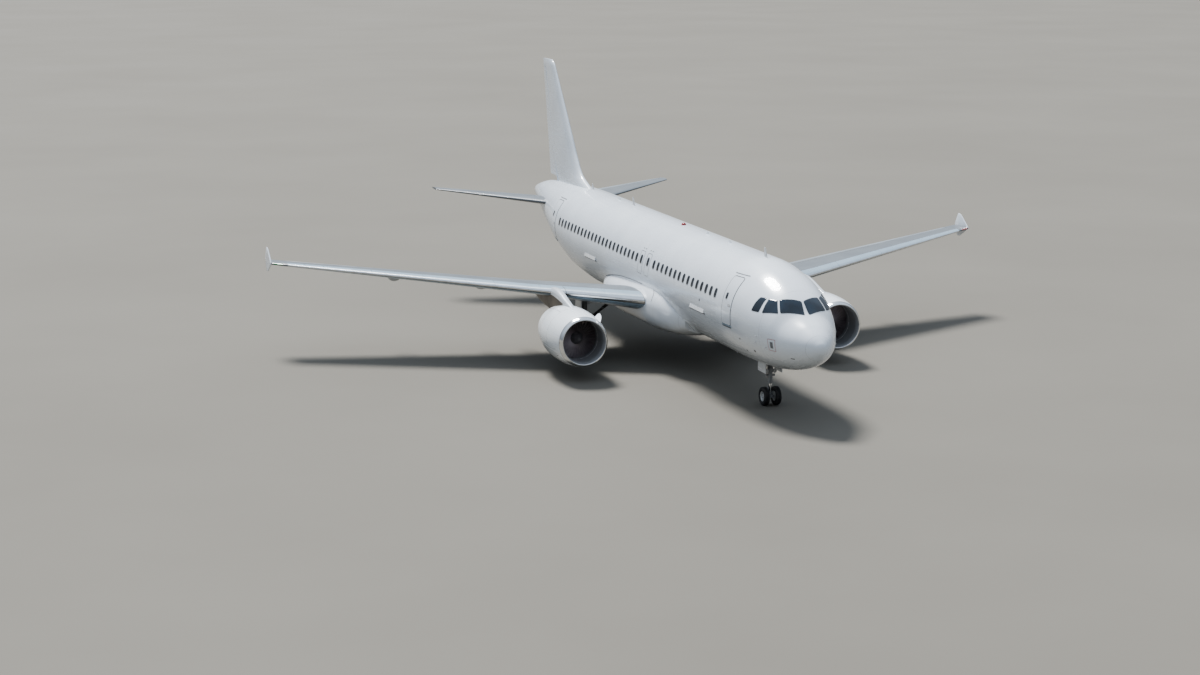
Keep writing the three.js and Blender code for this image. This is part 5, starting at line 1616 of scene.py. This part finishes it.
def build_leg_door(label, side):
    door_x, thick, start, end, foot = LEG_DOOR
    door = Builder(side)
    top = WING.camber(door_x, 0.65).z - 0.26
    outline = filled_in(box_outline(start, end, foot, top, 0.12), 0.2)
    middle = Vector((0, (start + end) / 2, (foot + top) / 2))
    rings = []
    for dx, share in ((0.0, 0.985), (0.008, 1.0), (thick - 0.008, 1.0), (thick, 0.985)):
        rings.append([(door_x + dx, y_of(p.y), p.z) for p in (middle.lerp(q, share) for q in outline)])
    door.loft(rings, WHITE)
    for height in (1.45, 1.85, 2.25):
        low = (door_x - 0.022, y_of(start + 0.1), height - 0.02)
        door.block(low, (door_x + 0.002, y_of(end - 0.1), height + 0.02), FRAME_GREY, 0.006)
    door.finish(f"main_leg_door_plate_{label}", "airframe", "white_paint", [f"main_leg_door_{label}"])


def build_nose_gear():
    y, z = y_of(NOSE_GEAR_STATION), NOSE_AXLE_Z
    _, bay_start, bay_end, bay_top = NOSE_BAY
    leg = Builder()
    leg.tubes(
        ((0, y, 0.94), (0, y, 2.44), 0.09, GEAR_GREY_SHADED, 36),
        ((0, y, 0.905), (0, y, 1.0), 0.105, GEAR_GREY_SHADED, 36),
        ((0, y, 1.42), (0, y, 1.56), 0.105, GEAR_GREY_SHADED, 36),
        ((-0.295, y, 2.05), (0.295, y, 2.05), 0.068, GEAR_GREY_SHADED, 28),
        ((0, y - 0.06, 1.5), (0, y_of(bay_start) + 0.06, bay_top - 0.26), 0.043, GEAR_GREY_SHADED, 24),
        ((-0.2, y + 0.03, 1.22), (0.2, y + 0.03, 1.22), 0.045, GEAR_GREY_SHADED, 24),
    )
    for sign in (-1, 1):
        lamp_x = sign * 0.17
        leg.tubes(
            ((lamp_x, y + 0.05, 1.4), (lamp_x, y - 0.05, 1.4), 0.07, GEAR_GREY_SHADED, 32, 0.085),
            ((lamp_x, y - 0.05, 1.4), (lamp_x, y - 0.062, 1.4), 0.08, CLEAR_LENS, 32),
            ((sign * 0.05, y, 1.4), (sign * 0.14, y, 1.4), 0.018, GEAR_GREY_SHADED, 12),
            ((sign * 0.1, y_of(bay_end) - 0.08, 2.3), (sign * 0.06, y + 0.05, 1.6), 0.024, GEAR_GREY_SHADED, 16),
        )
        leg.hose([(sign * dx, y + dy, height) for dx, dy, height in (
            (0.07, 0.09, 2.2), (0.09, 0.12, 1.8), (0.08, 0.12, 1.3), (0.05, 0.1, 1.0),
        )], 0.008, SEAL)
    leg.finish("nose_leg_detail", "airframe", "gear_paint", ["nose_leg"], angle=35)
    steering = Builder()
    steering.tubes(
        ((0, y, z), (0, y, 0.895), 0.058, CHROME, 36),
        ((0, y, z - 0.07), (0, y, z + 0.13), 0.078, GEAR_GREY_SHADED, 32),
        ((-0.113, y, z), (0.113, y, z), 0.08, GEAR_GREY_SHADED, 32),
        ((-0.045, y - 0.13, z), (0.045, y - 0.13, z), 0.018, CHROME, 16),
    )
    steering.block((-0.06, y - 0.15, z - 0.05), (0.06, y, z + 0.05), GEAR_GREY_SHADED, 0.008)
    torque_link(steering, 0, y + 0.07, y + 0.22, 0.7, (0.86, z + 0.15), 0.05, GEAR_GREY_SHADED)
    steering.finish("nose_steering_detail", "nose_steering", "gear_paint", ["nose_steering"], angle=35)
    hubs = Builder()
    hubs.tube((-0.24, y, z), (0.24, y, z), 0.043, CHROME, 24)
    for side in (STARBOARD, PORT):
        build_wheel(hubs, side * NOSE_SPACING / 2, y, z, NOSE_TYRE, side)
    hubs.finish("nose_wheel_hub_detail", "nose_wheels", "gear_paint", ["nose_wheel_hubs"], angle=30)
    for label, side in SIDES.items():
        made = Builder()
        made.lathe(tyre_profile(z, *NOSE_TYRE, side * NOSE_SPACING / 2), TYRE, (y, z), 64, "x")
        made.finish(
            f"nose_tyre_rubber_{label}", "nose_wheels", "tyre_rubber", [f"nose_tyre_{label}"], angle=30,
        )
        build_nose_door(label, side)


def build_nose_door(label, side):
    """A nose bay door: its upper edge follows the fuselage."""
    door_x, thick, foot, start, end = NOSE_DOOR
    door = Builder(side)
    outline = box_outline(start, end, foot, 0, 0.1)
    rings = []
    for dx, shrink in ((0.0, 0.006), (0.006, 0.0), (thick - 0.006, 0.0), (thick, 0.006)):
        ring = []
        for p in outline:
            s = min(max(p.y, start + shrink), end - shrink)
            half, middle, height = BODY.row(s)
            reach = (door_x + dx) / half
            top = middle - height * math.sqrt(1 - reach * reach) - 0.002
            ring.append((door_x + dx, y_of(s), top if p.z < foot * 0.5 else max(p.z, foot + shrink)))
        rings.append(ring)
    door.loft(rings, WHITE)
    for s in (start + 0.15, end - 0.15):
        door.tube((door_x - 0.03, y_of(s), foot + 0.12), (door_x - 0.03, y_of(s), 1.8), 0.014, FRAME_GREY, 12)
    door.finish(f"nose_door_plate_{label}", "airframe", "white_paint", [f"nose_gear_door_{label}"])


def build_nose_bay():
    half, start, end, top = NOSE_BAY
    bay, roof = Builder(), Builder()
    for station in linspace(start + 0.15, end - 0.15, 5):
        y = y_of(station)
        for x0, x1, z0, z1 in (
            (-half + 0.004, -half + 0.03, 1.95, top - 0.01), (half - 0.03, half - 0.004, 1.95, top - 0.01),
            (-half + 0.01, half - 0.01, top - 0.04, top - 0.012),
        ):
            bay.block((x0, y - 0.015, z0), (x1, y + 0.015, z1), BAY_PAINT, 0.004)
    bay.finish("nose_bay_frames", "airframe", "gear_paint", angle=30)
    corners = [(-half, y_of(start)), (half, y_of(start)), (half, y_of(end)), (-half, y_of(end))]
    rings = [[(x, y, z) for x, y in corners] for z in (1.9, top)]
    roof.loft(rings, BAY_PAINT, caps=False)
    roof.cap(rings[-1], BAY_PAINT)
    roof.finish("nose_bay_walls", "airframe", "gear_paint", angle=30)


# Fittings on the skin


def blade(builder, station, up, height, length, mat=FRAME_GREY, lean=0.35):
    """A swept blade aerial standing on top of the fuselage or hanging below it."""
    angle = up * math.pi / 2
    rings = []
    for t in linspace(0, 1, 5):
        chord = length * (1 - 0.5 * t)
        ring = []
        for c, s in turns(16):
            foot = BODY.at(station + chord / 2 * c + lean * height * t, angle)
            normal = BODY.normal(station, angle)
            side = normal.cross(Vector((0, 1, 0))).normalized()
            ring.append(foot + side * (0.016 * (1 - 0.6 * t) * s) + normal * (height * t - 0.01))
        rings.append(ring)
    builder.loft(rings, mat)


def build_fittings():
    fittings = Builder()
    for station, up, height, length in (
        (5.68, 1, 0.38, 0.34), (21.94, 1, 0.38, 0.34), (28.13, 1, 0.3, 0.3), (8.6, -1, 0.3, 0.32),
        (22.6, -1, 0.3, 0.32),
    ):
        blade(fittings, station, up, height, length)
    for station in (9.6, 12.2, 24.0):
        blade(fittings, station, 1, 0.12, 0.5, WHITE, 0.5)
    fittings.finish("aerials", "airframe", "white_paint", angle=50)
    lamps = Builder()
    for surface, station, up in ((BODY, 15.2, 1), (FAIRING, 16.6, -1)):
        foot = surface.at(station, up * math.pi / 2)
        rings = []
        for radius, rise in ((0.11, -0.01), (0.105, 0.02), (0.085, 0.06), (0.05, 0.09), (0.001, 0.1)):
            rings.append([foot + Vector((radius * c, radius * s, up * rise)) for c, s in turns(24)])
        lamps.loft(rings, RED_LENS, caps=False)
    lamps.finish("beacons", "airframe", "cockpit_glass")
    probes, marks = Builder(), Builder()
    for side in (PORT, STARBOARD):
        for station, z in ((2.62, 3.35), (2.72, 3.1), (2.1, 3.0)):
            foot = BODY.side_point(station, z, side)
            normal = BODY.normal(station, BODY.side_angle(station, z, side))
            elbow = foot + normal * 0.08
            probes.tube(foot - normal * 0.01, elbow, 0.012, FRAME_GREY, 12)
            probes.tube(elbow, elbow + Vector((0, -0.13, 0)), 0.01, POLISHED, 12, 0.006)
        for builder, shape in (
            (probes, (4.0, 3.0, 0.07, 0.07, 0.03)), (probes, (3.85, 2.55, 0.07, 0.07, 0.03)),
            (marks, (3.11, 2.66, 0.1, 0.08, 0.012)), (marks, (0.96, 2.72, 0.16, 0.03, 0.012)),
        ):
            side_panels(builder, side, (shape, (SEAL, 0.006, 0.003), None))
    probes.finish("air_data_probes", "airframe", "bare_silver")
    side_panels(
        marks, STARBOARD, ((1.77, 3.13, 0.34, 0.42, 0.01), None, (PLACARD_RED, 0.022, 0.005)),
        ((1.77, 3.13, 0.15, 0.25, 0.01), (GROOVE, 0.006, 0.003), None),
    )
    marks.finish("service_port_outline", "airframe", "white_paint", outward=BODY.outward)


def build_stage():
    """The floor, the sky and the key light."""
    floor = bpy.data.meshes.new("floor")
    far = FLOOR_REACH
    floor.from_pydata([(-far, -far, 0), (far, -far, 0), (far, far, 0), (-far, far, 0)], [], [(0, 1, 2, 3)])
    mat = new_material("pale_floor", (0.165, 0.155, 0.133), 0.85)
    patches = noise(mat, object_place(mat), 0.05, 5)
    colored(mat, ramp(mat, patches, [(0.3, (0.157, 0.147, 0.126)), (0.7, (0.174, 0.164, 0.142))]))
    floor.materials.append(mat)
    in_scene("floor", floor)
    world = bpy.data.worlds.new("soft_sky")
    world.use_nodes = True
    background = world.node_tree.nodes["Background"]
    place = node(world, "ShaderNodeTexCoord").outputs["Generated"]
    link(world, ramp(world, height_of(world, place), SKY), background.inputs["Color"])
    background.inputs["Strength"].default_value = SKY_STRENGTH
    lamp = bpy.data.lights.new("soft_key", "SUN")
    lamp.energy, lamp.angle = KEY_ENERGY, math.radians(KEY_ANGLE)
    lamp.color = (1.0, 0.985, 0.96)
    in_scene("soft_key", lamp).rotation_euler = (*(math.radians(turn) for turn in KEY_TURN), 0)
    scene = bpy.context.scene
    scene.world = world
    scene.view_settings.view_transform = "AgX"
    scene.view_settings.look = "AgX - Medium High Contrast"
    scene.view_settings.exposure = EXPOSURE


def build_camera():
    data = bpy.data.cameras.new("camera")
    data.sensor_width = SENSOR_WIDTH
    data.lens = CAMERA_FOCAL_PIXELS / IMAGE_WIDTH * SENSOR_WIDTH
    data.clip_start, data.clip_end = 1, 6000
    camera = in_scene("camera", data)
    azimuth, drop, roll = (math.radians(v) for v in (CAMERA_AZIMUTH, CAMERA_DROP, CAMERA_ROLL))
    look = Vector((-math.sin(azimuth) * math.cos(drop), math.cos(azimuth) * math.cos(drop), -math.sin(drop)))
    camera.location = CAMERA_PLACE
    camera.rotation_mode = "QUATERNION"
    camera.rotation_quaternion = Quaternion(look, roll) @ look.to_track_quat("-Z", "Y")
    bpy.context.scene.camera = camera


build_camera()
build_stage()
for section in SECTIONS:
    fuselage_section(*section)
build_tail_end()
build_windows()
for cabin_door in CABIN_DOORS:
    for label, side in SIDES.items():
        build_cabin_door(*cabin_door, label, side)
build_exits()
build_cockpit()
for name, door, start, end in HOLDS:
    build_cargo_leaf(name, door)
    build_hinge_strip(name, door)
    build_hold_liner(name, door, start, end)
build_fairing()
build_fin()
for label, side in SIDES.items():
    build_wing(label, side)
    build_fence(label, side)
    build_tailplane(label, side)
    build_cowl(label, side)
    build_lip(label, side)
    build_core(label, side)
    build_fan(label, side)
    build_pylon(label, side)
    build_main_gear(label, side)
build_nose_gear()
build_nose_bay()
build_fittings()
